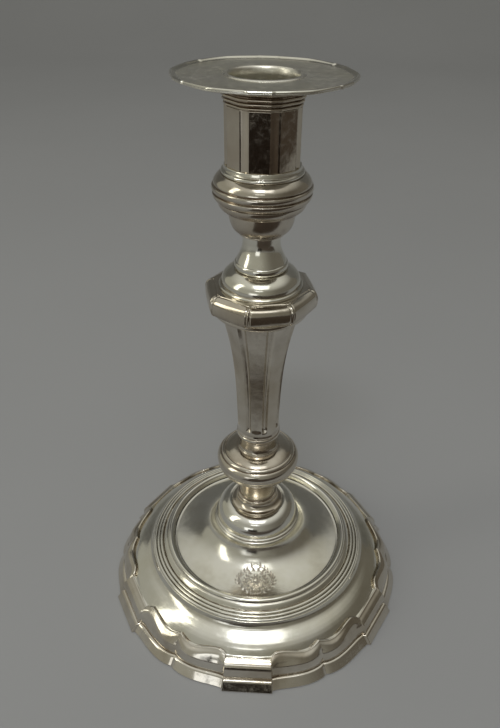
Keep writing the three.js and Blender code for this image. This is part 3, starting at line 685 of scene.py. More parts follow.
# %% Knop, lower and upper shells
knop = reach("knop_upper_shell")
knop_middle = seat("knop_upper_shell")
collar_seat = seat("shaft_collar")
core = knop - 6
outline = Outline(spool + 0.8, knop_seat)
outline.quad(knop - 4.5, knop_seat + 0.3, knop - 2.4, knop_middle - 4.4)
outline.line(knop - 1.75, knop_middle - 4.3)
outline.quad(knop - 0.7, knop_middle - 3.0, knop - 0.9, knop_middle - 2.2)
outline.line(knop - 0.55, knop_middle - 2.1)
outline.quad(knop - 0.1, knop_middle - 1.0, knop - 0.25, knop_middle)
outline.line(core, knop_middle).line(core, knop_seat + 4.6).line(BORE, knop_seat + 4.6)
outline.line(BORE, knop_seat + 1.6).line(SPIGOT + 0.15, knop_seat + 1.6)
outline.line(SPIGOT + 0.15, knop_seat)
turned("knop_lower_piece", outline, "knop_lower_shell", arris=0.12)

outline = Outline(core, knop_middle).line(knop - 0.3, knop_middle).line(knop - 0.1, knop_middle + 0.25)
outline.quad(knop + 0.1, knop_middle + 2.9, knop - 1.6, knop_middle + 4.2)
outline.line(knop - 2.05, knop_middle + 4.1)
outline.quad(knop - 2.15, knop_middle + 5.5, knop - 3.4, knop_middle + 5.8)
outline.line(knop - 3.85, knop_middle + 5.7)
outline.quad(knop - 6.5, knop_middle + 7.8, 9.7, collar_seat - 0.5)
outline.line(9.4, collar_seat).line(SPIGOT, collar_seat).line(SPIGOT, collar_seat + 1.4)
outline.line(BORE, collar_seat + 1.4).line(BORE, collar_seat - 3.4).line(core, collar_seat - 3.4)
turned("knop_upper_piece", outline, "knop_upper_shell", arris=0.12)

# %% [markdown]
# ## The shaft collar
# A narrow waist and one bead part the knop from the shaft. The bead is a half-round, which
# the outline helper draws from its two ends and its bulge.

# %% Shaft collar
shaft_seat = seat("fluted_shaft")
collar = reach("shaft_collar")
bead_head = shaft_seat - 0.9
outline = Outline(9.1, collar_seat)
outline.quad(8.2, collar_seat + 1, 8.4, shaft_seat - 4.1)
outline.line(collar - 0.9, shaft_seat - 3.1).bead(bead_head, 0.85)
outline.line(9.9, bead_head + 0.2).line(10.0, shaft_seat)
turned("shaft_collar_piece", bored(outline, collar_seat, shaft_seat), "shaft_collar", arris=0.12)

# %% [markdown]
# ## The fluted shaft
# Eight flats and eight hollow strips run up the shaft, which swells like a baluster towards
# the shoulder. At the foot the flutes stop above a plain round fillet: the plan fades in over
# a short height, as a file run out at the end of a flute would leave it.

# %% Fluted shaft
ring_seat = seat("shoulder_under_ring")
shaft_foot, shaft_top = 9.9, reach("fluted_shaft")
flute_foot = shaft_seat + 3.2
swell = ring_seat - flute_foot
outline = Outline(shaft_foot, shaft_seat).line(shaft_foot - 0.3, shaft_seat + 0.9)
outline.line(shaft_foot - 0.2, flute_foot)
outline.cubic(shaft_foot + 0.4, flute_foot + 0.35 * swell, shaft_foot + 1.0,
              ring_seat - 0.38 * swell, shaft_top - 1.8, ring_seat - 8)
outline.line(shaft_top, ring_seat)
SHAFT_FLUTE = 1.3


def shaft_plan(radius, height, degrees):
    shaped = fluted(SHAFT_FLUTE)(radius, height, degrees)[0]
    share = smooth((height - flute_foot + 0.4) / 1.6)
    return np.where(radius > 6.5, radius + (shaped - radius) * share, radius), height


def at_the_foot(a, b):
    """True for a side of the outline on the outside of the shaft's lowest 7 mm."""
    return shaft_seat < a[1] < shaft_seat + 7 and a[0] > 7


points = divided(softened(bored(outline, shaft_seat, ring_seat), 0.15), 0.5, at_the_foot)
turned("fluted_shaft_piece", points, "fluted_shaft", shaft_plan, FLUTED_ANGLES)

# %% [markdown]
# ## The shoulder
# Under the neck sits an eight-sided shoulder with a round moulding below and a turned cap on
# top. Its sides bulge a little and its corners are pinched to a fine ridge. The upper edge
# runs in small ears out to those corners.

# %% Shoulder ring, band and cap
band_seat = seat("shoulder_band")
cap_seat = seat("shoulder_cap")
neck_ring_seat = seat("neck_ring")
neck_seat = seat("socket_neck")
under = reach("shoulder_under_ring")
outline = Outline(SPIGOT + 0.15, ring_seat).line(under - 0.7, ring_seat).bead(band_seat, 0.7)
outline.line(SPIGOT + 0.15, band_seat)
turned("shoulder_under_piece", outline, "shoulder_under_ring", arris=0.12)

shoulder = reach("shoulder_band")
cap = reach("shoulder_cap") - 0.3
shelf = cap + 3.0
pocket = SPIGOT + 0.15
outline = Outline(under + 1.9, band_seat).line(under + 2.3, band_seat + 0.15)
outline.quad(shoulder - 0.1, band_seat + 1.0, shoulder, band_seat + 4.0)
outline.quad(shoulder + 0.1, cap_seat - 1.2, shelf + 1.4, cap_seat - 0.25)
outline.line(shelf + 0.6, cap_seat - 0.3).line(shelf + 0.35, cap_seat).line(pocket + 6, cap_seat)
outline.line(pocket + 6, band_seat + 2).line(pocket, band_seat + 2).line(pocket, band_seat)
EAR = 0.55


def shoulder_plan(radius, height, degrees):
    angle = folded(degrees, SIDES, SHOULDER_TURN)
    flat = radius * math.cos(math.radians(CORNER)) / np.cos(np.radians(angle))
    across = angle / CORNER
    ear = EAR * (1 - across ** 2) * smooth((height - cap_seat + 1.0) / 0.8)
    bulge = 0.35 * (1 - across ** 2) * smooth((cap_seat - height) / 2.0)
    pinch = 0.35 * np.exp(-((angle - CORNER + 1.7) / 0.8) ** 2)
    return np.where(radius < cap, radius, flat - ear + bulge - pinch), height


shoulder_angles = stations(200, corners_of([CORNER], SIDES, SHOULDER_TURN),
                           near=(0.15, 0.4, 0.8, 1.2, 1.6, 2.0, 2.5, 3.2))
turned("shoulder_band_piece", outline, "shoulder_band", shoulder_plan, shoulder_angles, 0.2)

outline = Outline(cap + 0.2, cap_seat).line(cap + 0.3, cap_seat + 0.8)
outline.line(cap - 0.1, cap_seat + 1.25).line(cap - 0.7, cap_seat + 1.35)
outline.quad(cap - 0.4, cap_seat + 5.4, 11.6, neck_ring_seat).line(SPIGOT, neck_ring_seat)
outline.line(SPIGOT, neck_seat + 1.4).line(BORE, neck_seat + 1.4)
outline.line(BORE, neck_ring_seat - 1.6).line(cap - 5.0, neck_ring_seat - 3.2)
outline.line(cap - 2.4, cap_seat)
turned("shoulder_cap_piece", outline, "shoulder_cap", arris=0.15)

# %% [markdown]
# ## The neck
# A bead and a waisted neck lead up to the socket. The neck is turned, with no flats, so that
# it divides the eight-sided shoulder from the round bowl.

# %% Neck ring and neck
neck_ring = reach("neck_ring")
outline = Outline(SPIGOT + 0.15, neck_ring_seat).line(neck_ring - 0.8, neck_ring_seat)
outline.bead(neck_seat, 0.8).line(SPIGOT + 0.15, neck_seat)
turned("neck_ring_piece", outline, "neck_ring", arris=0.12)

cup_seat = seat("socket_cup")
neck_height = cup_seat - neck_seat
neck_foot, waist = reach("socket_neck"), 7.5
outline = Outline(neck_foot, neck_seat)
outline.cubic(neck_foot - 1.2, neck_seat + 0.26 * neck_height, waist, neck_seat + 0.42 * neck_height,
              waist, neck_seat + 0.74 * neck_height)
outline.line(waist + 0.3, cup_seat)
turned("socket_neck_piece", bored(outline, neck_seat, cup_seat), "socket_neck", arris=0.12)

# %% [markdown]
# ## The cup and the bowl
# A plain cup carries a bowl with three bellies and a fine groove between each two. The bowl's
# outline goes down a wide bore, which the pan's sleeve slides into.

# %% Socket cup and bowl
bowl_seat = seat("socket_bowl")
cup_height = bowl_seat - cup_seat
cup_foot, cup_mouth = 9.7, 13.2
outline = Outline(waist + 0.8, cup_seat).line(cup_foot - 0.7, cup_seat + 0.2)
outline.bead(cup_seat + 1.0, 0.25)
outline.cubic(cup_foot + 1.8, cup_seat + 0.16 * cup_height, cup_mouth - 0.5,
              cup_seat + 0.4 * cup_height, cup_mouth, bowl_seat)
turned("socket_cup_piece", bored(outline, cup_seat, bowl_seat), "socket_cup", arris=0.12)

socket_ring_seat = seat("socket_foot_ring")
tube_seat = seat("socket_tube")
lip_seat = seat("socket_lip")
pan_seat = seat("drip_pan_plate")
bowl_height = socket_ring_seat - bowl_seat
bowl = reach("socket_bowl") + 0.1
SOCKET_BORE = 13.0
GROOVE = 0.35
reed_foot = bowl_seat + 0.3 * bowl_height
reed_top = bowl_seat + 0.52 * bowl_height
belly_top = bowl_seat + 0.72 * bowl_height
floor_top = bowl_seat + 3.2
outline = Outline(cup_mouth + 0.4, bowl_seat).line(14.9, bowl_seat + 0.1)
outline.line(15.2, bowl_seat + 0.6)
outline.quad(bowl - 2.4, bowl_seat + 1.3, bowl - 2.2, reed_foot - 0.5)
outline.line(bowl - 2.5, reed_foot - 0.2).line(bowl - 1.4, reed_foot + 0.2)
outline.quad(bowl - 0.25, reed_foot + 1.3, bowl - 0.35, reed_top - 0.5)
outline.line(bowl - 0.2 - 2 * GROOVE, reed_top - 0.15).line(bowl - 0.15 - GROOVE, reed_top + 0.3)
outline.quad(bowl + 0.25, reed_top + 1.3, bowl - 0.25, belly_top - 0.4)
outline.line(bowl - 0.3 - 2 * GROOVE, belly_top - 0.1).line(bowl - 0.35 - GROOVE, belly_top + 0.3)
outline.quad(bowl - 0.9, belly_top + 2.2, 16.0, socket_ring_seat)
outline.line(SOCKET_BORE, socket_ring_seat).line(SOCKET_BORE, floor_top)
turned("socket_bowl_piece", bored(outline, bowl_seat, floor_top, False), "socket_bowl", arris=0.14)

# %% [markdown]
# ## The ring, the tube and the lip
# The tube has the shaft's flats and flutes, and shares the bowl's bore. The plan leaves every
# point inside the bore alone, so that the bore stays round. The lip's steps follow the flats
# of the tube, with much shallower flutes.

# %% Socket foot ring, tube and lip
ring = reach("socket_foot_ring")
tube = reach("socket_tube")
outline = Outline(SOCKET_BORE, socket_ring_seat).line(ring - 0.5, socket_ring_seat)
outline.bead(socket_ring_seat + 1.4, 0.5)
outline.line(ring - 0.75, socket_ring_seat + 1.55)
outline.quad(ring - 1.0, socket_ring_seat + 1.6, tube + 0.25, tube_seat - 0.2)
outline.line(tube + 0.15, tube_seat).line(SOCKET_BORE, tube_seat)
turned("socket_foot_ring_piece", outline, "socket_foot_ring", arris=0.12)

outline = Outline(SOCKET_BORE, tube_seat).line(tube, tube_seat).line(tube, lip_seat)
outline.line(SOCKET_BORE, lip_seat)
turned("socket_tube_piece", outline, "socket_tube", fluted(0.55, SOCKET_BORE + 0.3), FLUTED_ANGLES, 0.1)

outline = Outline(SOCKET_BORE, lip_seat).line(tube - 0.2, lip_seat).line(tube - 0.1, lip_seat + 0.3)
height = lip_seat + 0.2
for radius, climb in [(tube + 0.3, 1.4), (tube + 0.7, 1.5), (tube + 1.2, 1.5)]:
    outline.line(radius - 0.25, height + 0.1).bead(height + climb - 0.55, 0.25)
    outline.line(radius - 0.55, height + climb - 0.4).line(radius - 0.5, height + climb)
    height += climb
flare = reach("socket_lip")
outline.quad(flare - 0.6, height + 0.8, flare, pan_seat - 1.0).line(flare, pan_seat)
outline.line(SOCKET_BORE, pan_seat)
turned("socket_lip_piece", outline, "socket_lip", fluted(0.15, SOCKET_BORE + 0.3), FLUTED_ANGLES, 0.1)

# %% [markdown]
# ## The drip pan
# The pan is a loose dish of thin sheet with six small panels and a fine moulded rim. A short
# sleeve under it drops into the socket. All three of its pieces ride on their own body, so
# that the pan lifts out.

# %% Pan plate
PAN_PANEL = 6.6
pan_apothem = (reach("drip_pan_plate") - 0.7) * math.cos(math.radians(PAN_PANEL))
pan_top = seat("drip_pan_rim")
sleeve_outer = SOCKET_BORE - 0.25
sleeve_inner = sleeve_outer - 0.7


def pan_plan(radius, height, degrees):
    angle = folded(degrees, LOBES, PANEL_TURN)
    flat = radius / np.cos(np.radians(np.minimum(angle, PAN_PANEL)))
    share = np.clip((angle - PAN_PANEL) / (CUSP - PAN_PANEL), 0, 1)
    wave = 0.35 * share - 1.3 * share * (1 - share) ** 1.5 - 0.35 * smooth(share / 0.1) * (1 - share)
    fade = smooth((radius - pan_apothem + 7) / 5)
    return radius + (flat + wave - radius) * fade, height


PAN_ANGLES = stations(300, corners_of([PAN_PANEL, PAN_PANEL + 1.5], LOBES, PANEL_TURN)
                      + corners_of([CUSP], LOBES, PANEL_TURN), near=(0.2, 0.5, 0.9))
outline = Outline(sleeve_outer + 0.3, pan_seat)
for share in np.linspace(0.1, 0.85, 9):
    outline.line(sleeve_outer + 0.3 + share * (pan_apothem - sleeve_outer - 1.1), pan_seat)
outline.quad(pan_apothem - 1.5, pan_seat, pan_apothem - 0.4, pan_seat + 0.45)
outline.line(pan_apothem, pan_seat + 0.6).line(pan_apothem, pan_top)
for share in np.linspace(0.95, 0.05, 12):
    outline.line(sleeve_outer + 0.3 + share * (pan_apothem - sleeve_outer - 0.3), pan_top)
outline.line(sleeve_outer + 0.3, pan_top)
turned("drip_pan_plate_piece", outline, "drip_pan_plate", pan_plan, PAN_ANGLES, 0.1, "drip_pan")

# %% [markdown]
# ## The pan's rim and sleeve
# A low moulded rim strengthens the edge of the thin plate, and a sleeve with a rolled mouth
# hangs under its hole. The rim uses the plate's own plan, so the two edges run together.

# %% Pan rim and sleeve
outline = Outline(pan_apothem - 2.2, pan_top).line(pan_apothem, pan_top)
outline.quad(pan_apothem + 0.12, pan_top + 0.45, pan_apothem - 0.3, pan_top + 0.75)
outline.quad(pan_apothem - 0.6, pan_top + 0.85, pan_apothem - 1.1, pan_top + 0.45)
outline.quad(pan_apothem - 1.5, pan_top + 0.12, pan_apothem - 2.2, pan_top)
turned("drip_pan_rim_piece", outline, "drip_pan_rim", pan_plan, PAN_ANGLES, 0.05, "drip_pan")

mouth = sleeve_inner + 1.1
outline = Outline(sleeve_inner, seat("drip_pan_sleeve")).line(sleeve_outer, seat("drip_pan_sleeve"))
outline.line(sleeve_outer, pan_top).line(mouth + 1.4, pan_top).line(mouth + 0.9, pan_top + 0.4)
outline.line(mouth, pan_top + 0.5).quad(sleeve_inner + 0.1, pan_top + 0.2, sleeve_inner, pan_top - 2.2)
turned("drip_pan_sleeve_piece", outline, "drip_pan_sleeve", arris=0.12, body="drip_pan")

# %% [markdown]
# ## Shared effects as node groups
# Four effects appear on every silver surface, so each is a node group with named inputs:
# tarnish that gathers in hollows, with painted shade in narrow places and on undersides, fine
# polishing scratches, the gentle unevenness of hand work, and a drift in tone. Each one puts
# out only masks or a height, and the material decides what to do with them.

# %% Node group helpers
def new_group(name, inputs, outputs):
    """A shader node group with float inputs (name: default) and float outputs."""
    tree = bpy.data.node_groups.new(name, "ShaderNodeTree")
    for label, value in inputs.items():
        socket = tree.interface.new_socket(label, in_out="INPUT", socket_type="NodeSocketFloat")
        socket.default_value = value
    for label in outputs:
        tree.interface.new_socket(label, in_out="OUTPUT", socket_type="NodeSocketFloat")
    return tree, tree.nodes.new("NodeGroupInput"), tree.nodes.new("NodeGroupOutput")


def add(tree, kind, **settings):
    """A new node, with settings given by attribute name or by input name."""
    node = tree.nodes.new("ShaderNode" + kind)
    for key, value in settings.items():
        if hasattr(node, key):
            setattr(node, key, value)
        else:
            node.inputs[key.replace("_", " ")].default_value = value
    return node


def maths(tree, operation, a, b=None, clamp=False):
    """One Math node. a and b are sockets or numbers."""
    node = tree.nodes.new("ShaderNodeMath")
    node.operation, node.use_clamp = operation, clamp
    for slot, value in zip(node.inputs, (a, b)):
        if value is None:
            continue
        if isinstance(value, (int, float)):
            slot.default_value = value
        else:
            tree.links.new(value, slot)
    return node.outputs[0]


def ramp(tree, value, low, high):
    """Turns low..high into 0..1, smoothly."""
    node = add(tree, "MapRange", interpolation_type="SMOOTHSTEP")
    tree.links.new(value, node.inputs["Value"])
    node.inputs["From Min"].default_value, node.inputs["From Max"].default_value = low, high
    return node.outputs["Result"]


def noise(tree, scale, detail=3.0, roughness=0.5, stretch=None):
    """Noise in the object's own coordinates. stretch squeezes it along an axis."""
    place = add(tree, "TexCoord")
    texture = add(tree, "TexNoise", Scale=scale, Detail=detail, Roughness=roughness)
    source = place.outputs["Object"]
    if stretch:
        mapping = add(tree, "Mapping")
        mapping.inputs["Scale"].default_value = stretch
        tree.links.new(source, mapping.inputs["Vector"])
        source = mapping.outputs["Vector"]
    tree.links.new(source, texture.inputs["Vector"])
    return texture.outputs["Fac"]


print("helpers ready for", bpy.app.version_string)

# %% [markdown]
# ## Tarnish and painted shade
# Silver darkens where a polishing cloth doesn't reach, and the stored hollows find those fine
# hollows. Shade is painted in as well: ambient occlusion darkens the narrow places, and the
# surface's own normal darkens the faces that look down. Noise makes it patchy.

# %% Tarnish and painted shade
def tarnish_and_shade_group():
    """Mask of patina in the hollows, with painted shade in enclosed places and on faces that look down.
    """
    tree, inside, outside = new_group("Tarnish and painted shade", {"Hollow": 0.0, "Amount": 0.5}, ["Mask"])
    # Painted shade: ambient occlusion darkens narrow, enclosed places.
    near = add(tree, "AmbientOcclusion", samples=8, Distance=0.009)
    closed = maths(tree, "SUBTRACT", 1.0, near.outputs["AO"], clamp=True)
    closed = ramp(tree, closed, 0.25, 0.95)
    patches = ramp(tree, noise(tree, 160, 4, 0.6), 0.35, 0.65)
    hollow = maths(tree, "MULTIPLY", inside.outputs["Hollow"], 0.9)
    both = maths(tree, "ADD", hollow, closed, clamp=True)
    # Painted shade: faces that look down are darkened.
    facing = add(tree, "SeparateXYZ")
    tree.links.new(add(tree, "NewGeometry").outputs["Normal"], facing.inputs[0])
    under = maths(tree, "MULTIPLY", ramp(tree, facing.outputs["Z"], 0.05, -0.8), 0.8)
    both = maths(tree, "MAXIMUM", both, under)
    uneven = maths(tree, "ADD", 0.55, maths(tree, "MULTIPLY", patches, 0.6))
    mask = maths(tree, "MULTIPLY", both, uneven)
    haze = maths(tree, "MULTIPLY", ramp(tree, noise(tree, 55, 5, 0.6), 0.5, 0.8), 0.25)
    mask = maths(tree, "MULTIPLY", maths(tree, "ADD", mask, haze), inside.outputs["Amount"], clamp=True)
    tree.links.new(mask, outside.inputs["Mask"])
    return tree


TARNISH_AND_SHADE = tarnish_and_shade_group()
print(TARNISH_AND_SHADE.name, "has", len(TARNISH_AND_SHADE.nodes), "nodes")


# %% [markdown]
# ## Fine scratches
# Two centuries of polishing leave hair lines that run every way. Noise squeezed along one
# axis gives lines, and three layers of it cross each other. A broader noise gives the haze
# that many lines too fine to see make together.

# %% Fine scratches
def scratch_group():
    """Height of hair lines, and the haze they leave."""
    tree, inside, outside = new_group("Fine scratches", {"Amount": 1.0}, ["Height", "Haze"])
    layers = []
    for stretch in ((1, 0.04, 0.6), (0.05, 1, 0.5), (0.7, 0.6, 0.05)):
        lines = noise(tree, 900, 2, 0.5, stretch)
        layers.append(ramp(tree, lines, 0.63, 0.7))
    total = maths(tree, "ADD", maths(tree, "ADD", layers[0], layers[1]), layers[2])
    height = maths(tree, "MULTIPLY", total, inside.outputs["Amount"])
    cloudy = ramp(tree, noise(tree, 420, 6, 0.7), 0.4, 0.8)
    haze = maths(tree, "MULTIPLY", cloudy, inside.outputs["Amount"])
    tree.links.new(height, outside.inputs["Height"])
    tree.links.new(haze, outside.inputs["Haze"])
    return tree


SCRATCHES = scratch_group()
print(SCRATCHES.name, "has", len(SCRATCHES.nodes), "nodes")


# %% [markdown]
# ## Unevenness
# Hand-raised silver is never quite true, so reflections waver in it. A slow noise as a height
# does that without changing an outline.

# %% Hand-made unevenness
def unevenness_group():
    """Height of slow waves with smaller ones on them."""
    tree, inside, outside = new_group("Hand-made surface", {"Amount": 1.0}, ["Height"])
    broad = noise(tree, 38, 1, 0.4)
    small = maths(tree, "MULTIPLY", noise(tree, 170, 2, 0.5), 0.16)
    height = maths(tree, "MULTIPLY", maths(tree, "ADD", broad, small), inside.outputs["Amount"])
    tree.links.new(height, outside.inputs["Height"])
    return tree


UNEVEN = unevenness_group()
print(UNEVEN.name, "has", len(UNEVEN.nodes), "nodes")


# %% [markdown]
# ## Drift of tone
# Old silver isn't one colour: it drifts from pale to warm in soft patches as large as a thumb.
# A broad noise, pushed towards its ends by a smooth ramp, gives those patches.

# %% Drift of tone
def drift_group():
    """Mask of broad, soft patches."""
    tree, inside, outside = new_group("Drift of tone", {"Scale": 30.0}, ["Mask"])
    place = add(tree, "TexCoord")
    texture = add(tree, "TexNoise", Detail=4.0, Roughness=0.6)
    tree.links.new(place.outputs["Object"], texture.inputs["Vector"])
    tree.links.new(inside.outputs["Scale"], texture.inputs["Scale"])
    tree.links.new(ramp(tree, texture.outputs["Fac"], 0.3, 0.7), outside.inputs["Mask"])
    return tree


DRIFT = drift_group()
print(DRIFT.name, "has", len(DRIFT.nodes), "nodes")


# %% [markdown]
# ## Silver
# Silver is a plain metal in the shader: Metallic 1 and a colour that tints what it reflects.
# What makes it look old is where the tint and the gloss change. Clean silver is warm and
# pale, tarnish and painted shade are brown and dull, and worn arrises are the palest and
# smoothest of all.

# %% The silver material
def mixed(tree, factor, a, b):
    """A colour mix. a and b are colours or sockets."""
    node = add(tree, "Mix", data_type="RGBA")
    tree.links.new(factor, node.inputs[0])
    for slot, value in ((node.inputs[6], a), (node.inputs[7], b)):
        if isinstance(value, tuple):
            slot.default_value = (*value, 1)
        else:
            tree.links.new(value, slot)
    return node.outputs[2]


def use(tree, group, **values):
    """A group node with its values set."""
    node = tree.nodes.new("ShaderNodeGroup")
    node.node_tree = group
    for key, value in values.items():
        node.inputs[key].default_value = value
    return node


def attribute(tree, name):
    """A number stored on the mesh."""
    return add(tree, "Attribute", attribute_name=name).outputs["Fac"]


def silver(name, pale, warm, brown, gloss, tarnish_and_shade_amount, scratch, uneven, engraved=False):
    """A silver finish. pale and warm are its tints, brown the colour of patina and painted shade, gloss
    the roughness when clean.
    """
    material = bpy.data.materials.new(name)
    material.use_nodes = True
    tree = material.node_tree
    shader = tree.nodes["Principled BSDF"]
    shader.inputs["Metallic"].default_value = 1.0
    patina_and_shade = use(tree, TARNISH_AND_SHADE, Amount=tarnish_and_shade_amount)
    tree.links.new(attribute(tree, "hollow"), patina_and_shade.inputs["Hollow"])
    lines = use(tree, SCRATCHES, Amount=scratch)
    waves = use(tree, UNEVEN, Amount=uneven)
    drift = use(tree, DRIFT, Scale=28.0)
    worn = maths(tree, "MULTIPLY", attribute(tree, "arris"), 0.8, clamp=True)

    colour = mixed(tree, drift.outputs["Mask"], pale, warm)
    # Brown for patina in the hollows and for painted shade in narrow places and on faces that look
    # down.
    colour = mixed(tree, patina_and_shade.outputs["Mask"], colour, brown)
    colour = mixed(tree, maths(tree, "MULTIPLY", worn, 0.5), colour, pale)
    rough = maths(tree, "ADD", gloss, maths(tree, "MULTIPLY", lines.outputs["Haze"], 0.20))
    rough = maths(tree, "ADD", rough, maths(tree, "MULTIPLY", patina_and_shade.outputs["Mask"], 0.22))
    rough = maths(tree, "SUBTRACT", rough, maths(tree, "MULTIPLY", worn, 0.05), clamp=True)
    height = maths(tree, "ADD", waves.outputs["Height"],
                   maths(tree, "MULTIPLY", lines.outputs["Height"], -0.012))
    if engraved:
        cut = attribute(tree, "cut")
        colour = mixed(tree, maths(tree, "MULTIPLY", cut, 0.65), colour, brown)
        height = maths(tree, "SUBTRACT", height, maths(tree, "MULTIPLY", cut, 0.6))
    tree.links.new(colour, shader.inputs["Base Color"])
    tree.links.new(rough, shader.inputs["Roughness"])
    bump = add(tree, "Bump", Strength=1.0, Distance=0.00018)
    tree.links.new(height, bump.inputs["Height"])
    tree.links.new(bump.outputs["Normal"], shader.inputs["Normal"])
    return material


print("a finish draws on", len(bpy.data.node_groups), "node groups")

# %% [markdown]
# ## The five silver finishes
# The plain surfaces are bright, the mouldings are more worn, and the socket is the darkest.
# The numbers after the tints are the gloss when clean, then how much tarnish and painted shade,
# scratching and unevenness there is. The pan is brushed, because candle wax is scraped off it.

# %% Silver finishes
PALE, WARM, BROWN = (0.89, 0.875, 0.81), (0.78, 0.755, 0.64), (0.17, 0.11, 0.065)
bright = silver("bright_silver_finish", PALE, WARM, BROWN, 0.13, 0.75, 0.6, 1.0)
engraved_silver = silver("engraved_silver_finish", PALE, WARM, BROWN, 0.15, 0.6, 0.6, 1.0, True)
worn_silver = silver("worn_silver_finish", (0.80, 0.765, 0.69), (0.56, 0.50, 0.40), BROWN,
                     0.11, 1.0, 0.8, 1.3)
brushed = silver("brushed_silver_finish", (0.84, 0.82, 0.755), WARM, BROWN,
                 0.30, 0.4, 1.0, 1.0)
dark_silver = silver("dark_silver_finish", (0.74, 0.68, 0.57), (0.38, 0.29, 0.20), BROWN,
                     0.10, 1.0, 0.8, 1.5)
print("materials so far:", [m.name for m in bpy.data.materials])

# %% [markdown]
# ## Steel for the hidden rod
# The rod, its washer and its nut are plain steel with spots of rust. They are kept from the
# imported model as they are, and only their material is set. So is the disc under the candle.

# %% Steel
def steel():
    """Grey metal with brown, rougher spots."""
    material = bpy.data.materials.new("plain_steel")
    material.use_nodes = True
    tree = material.node_tree
    shader = tree.nodes["Principled BSDF"]
    shader.inputs["Metallic"].default_value = 1.0
    rust = ramp(tree, noise(tree, 300, 5, 0.6), 0.55, 0.75)
    colour = mixed(tree, rust, (0.40, 0.40, 0.41), (0.16, 0.10, 0.07))
    rough = maths(tree, "ADD", 0.35, maths(tree, "MULTIPLY", rust, 0.4))
    grain = noise(tree, 1200, 2, 0.5, (1, 1, 0.05))
    tree.links.new(colour, shader.inputs["Base Color"])
    tree.links.new(rough, shader.inputs["Roughness"])
    bump = add(tree, "Bump", Strength=0.4, Distance=0.00005)
    tree.links.new(grain, bump.inputs["Height"])
    tree.links.new(bump.outputs["Normal"], shader.inputs["Normal"])
    return material


steel_finish = steel()
for name in ("tie_rod", "rod_washer", "rod_nut", "candle_seat"):
    nodes[name].data.materials.clear()
    nodes[name].data.materials.append(dark_silver if name == "candle_seat" else steel_finish)
    print(name, "is finished with", nodes[name].data.materials[0].name)

# %% [markdown]
# ## Giving each piece its finish
# The record names a finish for every node. Each new piece takes the slot of the node that it
# stands for, so the two never drift apart. The well gets the engraved version of its finish.
# The pan's plate and sleeve get the brushed one.

# %% Finishes by slot
FINISH = {"bright_silver": bright, "worn_silver": worn_silver, "dark_silver": dark_silver}
SPECIAL = {"well_dome": engraved_silver, "drip_pan_sleeve": brushed, "drip_pan_plate": brushed}
slots = {part["node"]: part["material_slot"] for part in frame["record"]["subparts"]}
for obj in list(bpy.data.objects):
    stands_for = list(obj.get("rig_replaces", []))
    if stands_for:
        name = slots[stands_for[0]]
        obj.data.materials.append(SPECIAL.get(stands_for[0], FINISH[name]))

# %% [markdown]
# ## Floor and cards
# Silver shows the room more than itself. A pale floor sweeps up behind the candlestick. A
# brown card lies on it in front and to the right, as a table would, and a small dark card
# stands in front: without them, the upright sides would look flat and white. The cards are
# hidden from the camera, and only the silver's reflections see them.

# %% Paint and a floor that sweeps up
def sheet_of_paint(name, colour, variation):
    """A matt paint whose tone varies gently from place to place."""
    material = bpy.data.materials.new(name)
    material.use_nodes = True
    tree = material.node_tree
    shader = tree.nodes["Principled BSDF"]
    shader.inputs["Roughness"].default_value = 0.85
    tone = mixed(tree, ramp(tree, noise(tree, 2.2, 3, 0.5), 0.3, 0.7), colour,
                 tuple(c * variation for c in colour))
    tree.links.new(tone, shader.inputs["Base Color"])
    return material


def sweep(name, material, width=6.0, front=-2.4, back=1.5, bend=0.9, top=2.6):
    """A floor that curves up into a backdrop."""
    turn = np.linspace(0, math.pi / 2, 24)
    line = [(front, 0.0)] + [(back + bend * math.sin(t), bend - bend * math.cos(t)) for t in turn]
    line.append((back + bend, top))
    co = [(x, y, z) for x in (-width / 2, width / 2) for y, z in line]
    count = len(line)
    quads = [(i, i + count, i + count + 1, i + 1) for i in range(count - 1)]
    mesh = bpy.data.meshes.new(name)
    mesh.from_pydata(co, [], quads)
    mesh.polygons.foreach_set("use_smooth", [True] * len(quads))
    mesh.materials.append(material)
    obj = bpy.data.objects.new(name, mesh)
    bpy.context.scene.collection.objects.link(obj)
    return obj


floor = sweep("floor", sheet_of_paint("floor_paper", (0.385, 0.389, 0.402), 0.96))
print("the floor has", len(floor.data.polygons), "strips")


# %% [markdown]
# ## Cards
# A card is one painted face that neither the camera nor any shadow sees. The room's own tone
# could be darkened instead, but a card close by darkens only the reflections that reach it.

# %% Cards
def card(name, material, corners):
    """A flat card that only reflections see."""
    mesh = bpy.data.meshes.new(name)
    mesh.from_pydata(corners, [], [(0, 1, 2, 3)])
    mesh.materials.append(material)
    obj = bpy.data.objects.new(name, mesh)
    bpy.context.scene.collection.objects.link(obj)
    obj.visible_camera = obj.visible_shadow = obj.visible_diffuse = False
    return obj


table_brown = sheet_of_paint("table_brown", (0.080, 0.056, 0.042), 0.6)
nearly_black = sheet_of_paint("nearly_black", (0.045, 0.030, 0.022), 0.5)
card("table_card", table_brown, [(-0.28, -1.2, 0.002), (1.3, -1.2, 0.002),
                                 (1.3, -0.13, 0.002), (-0.11, -0.13, 0.002)])
card("dark_card", nearly_black, [(-0.21, -0.52, 0.003), (0.02, -0.55, 0.003),
                                (0.02, -0.55, 0.13), (-0.21, -0.52, 0.13)])

print("cards stand and lie in front of the candlestick")

# %% [markdown]
# ## Lights
# Each soft box is a highlight that the silver mirrors. A broad, weak one overhead has a small
# bright core, which draws the crisp lines along the mouldings. A tall window on the left and
# two low boxes in front fill the sides. An area light is set by its power, so the power is
# worked out from how bright the box should look and how large it is.

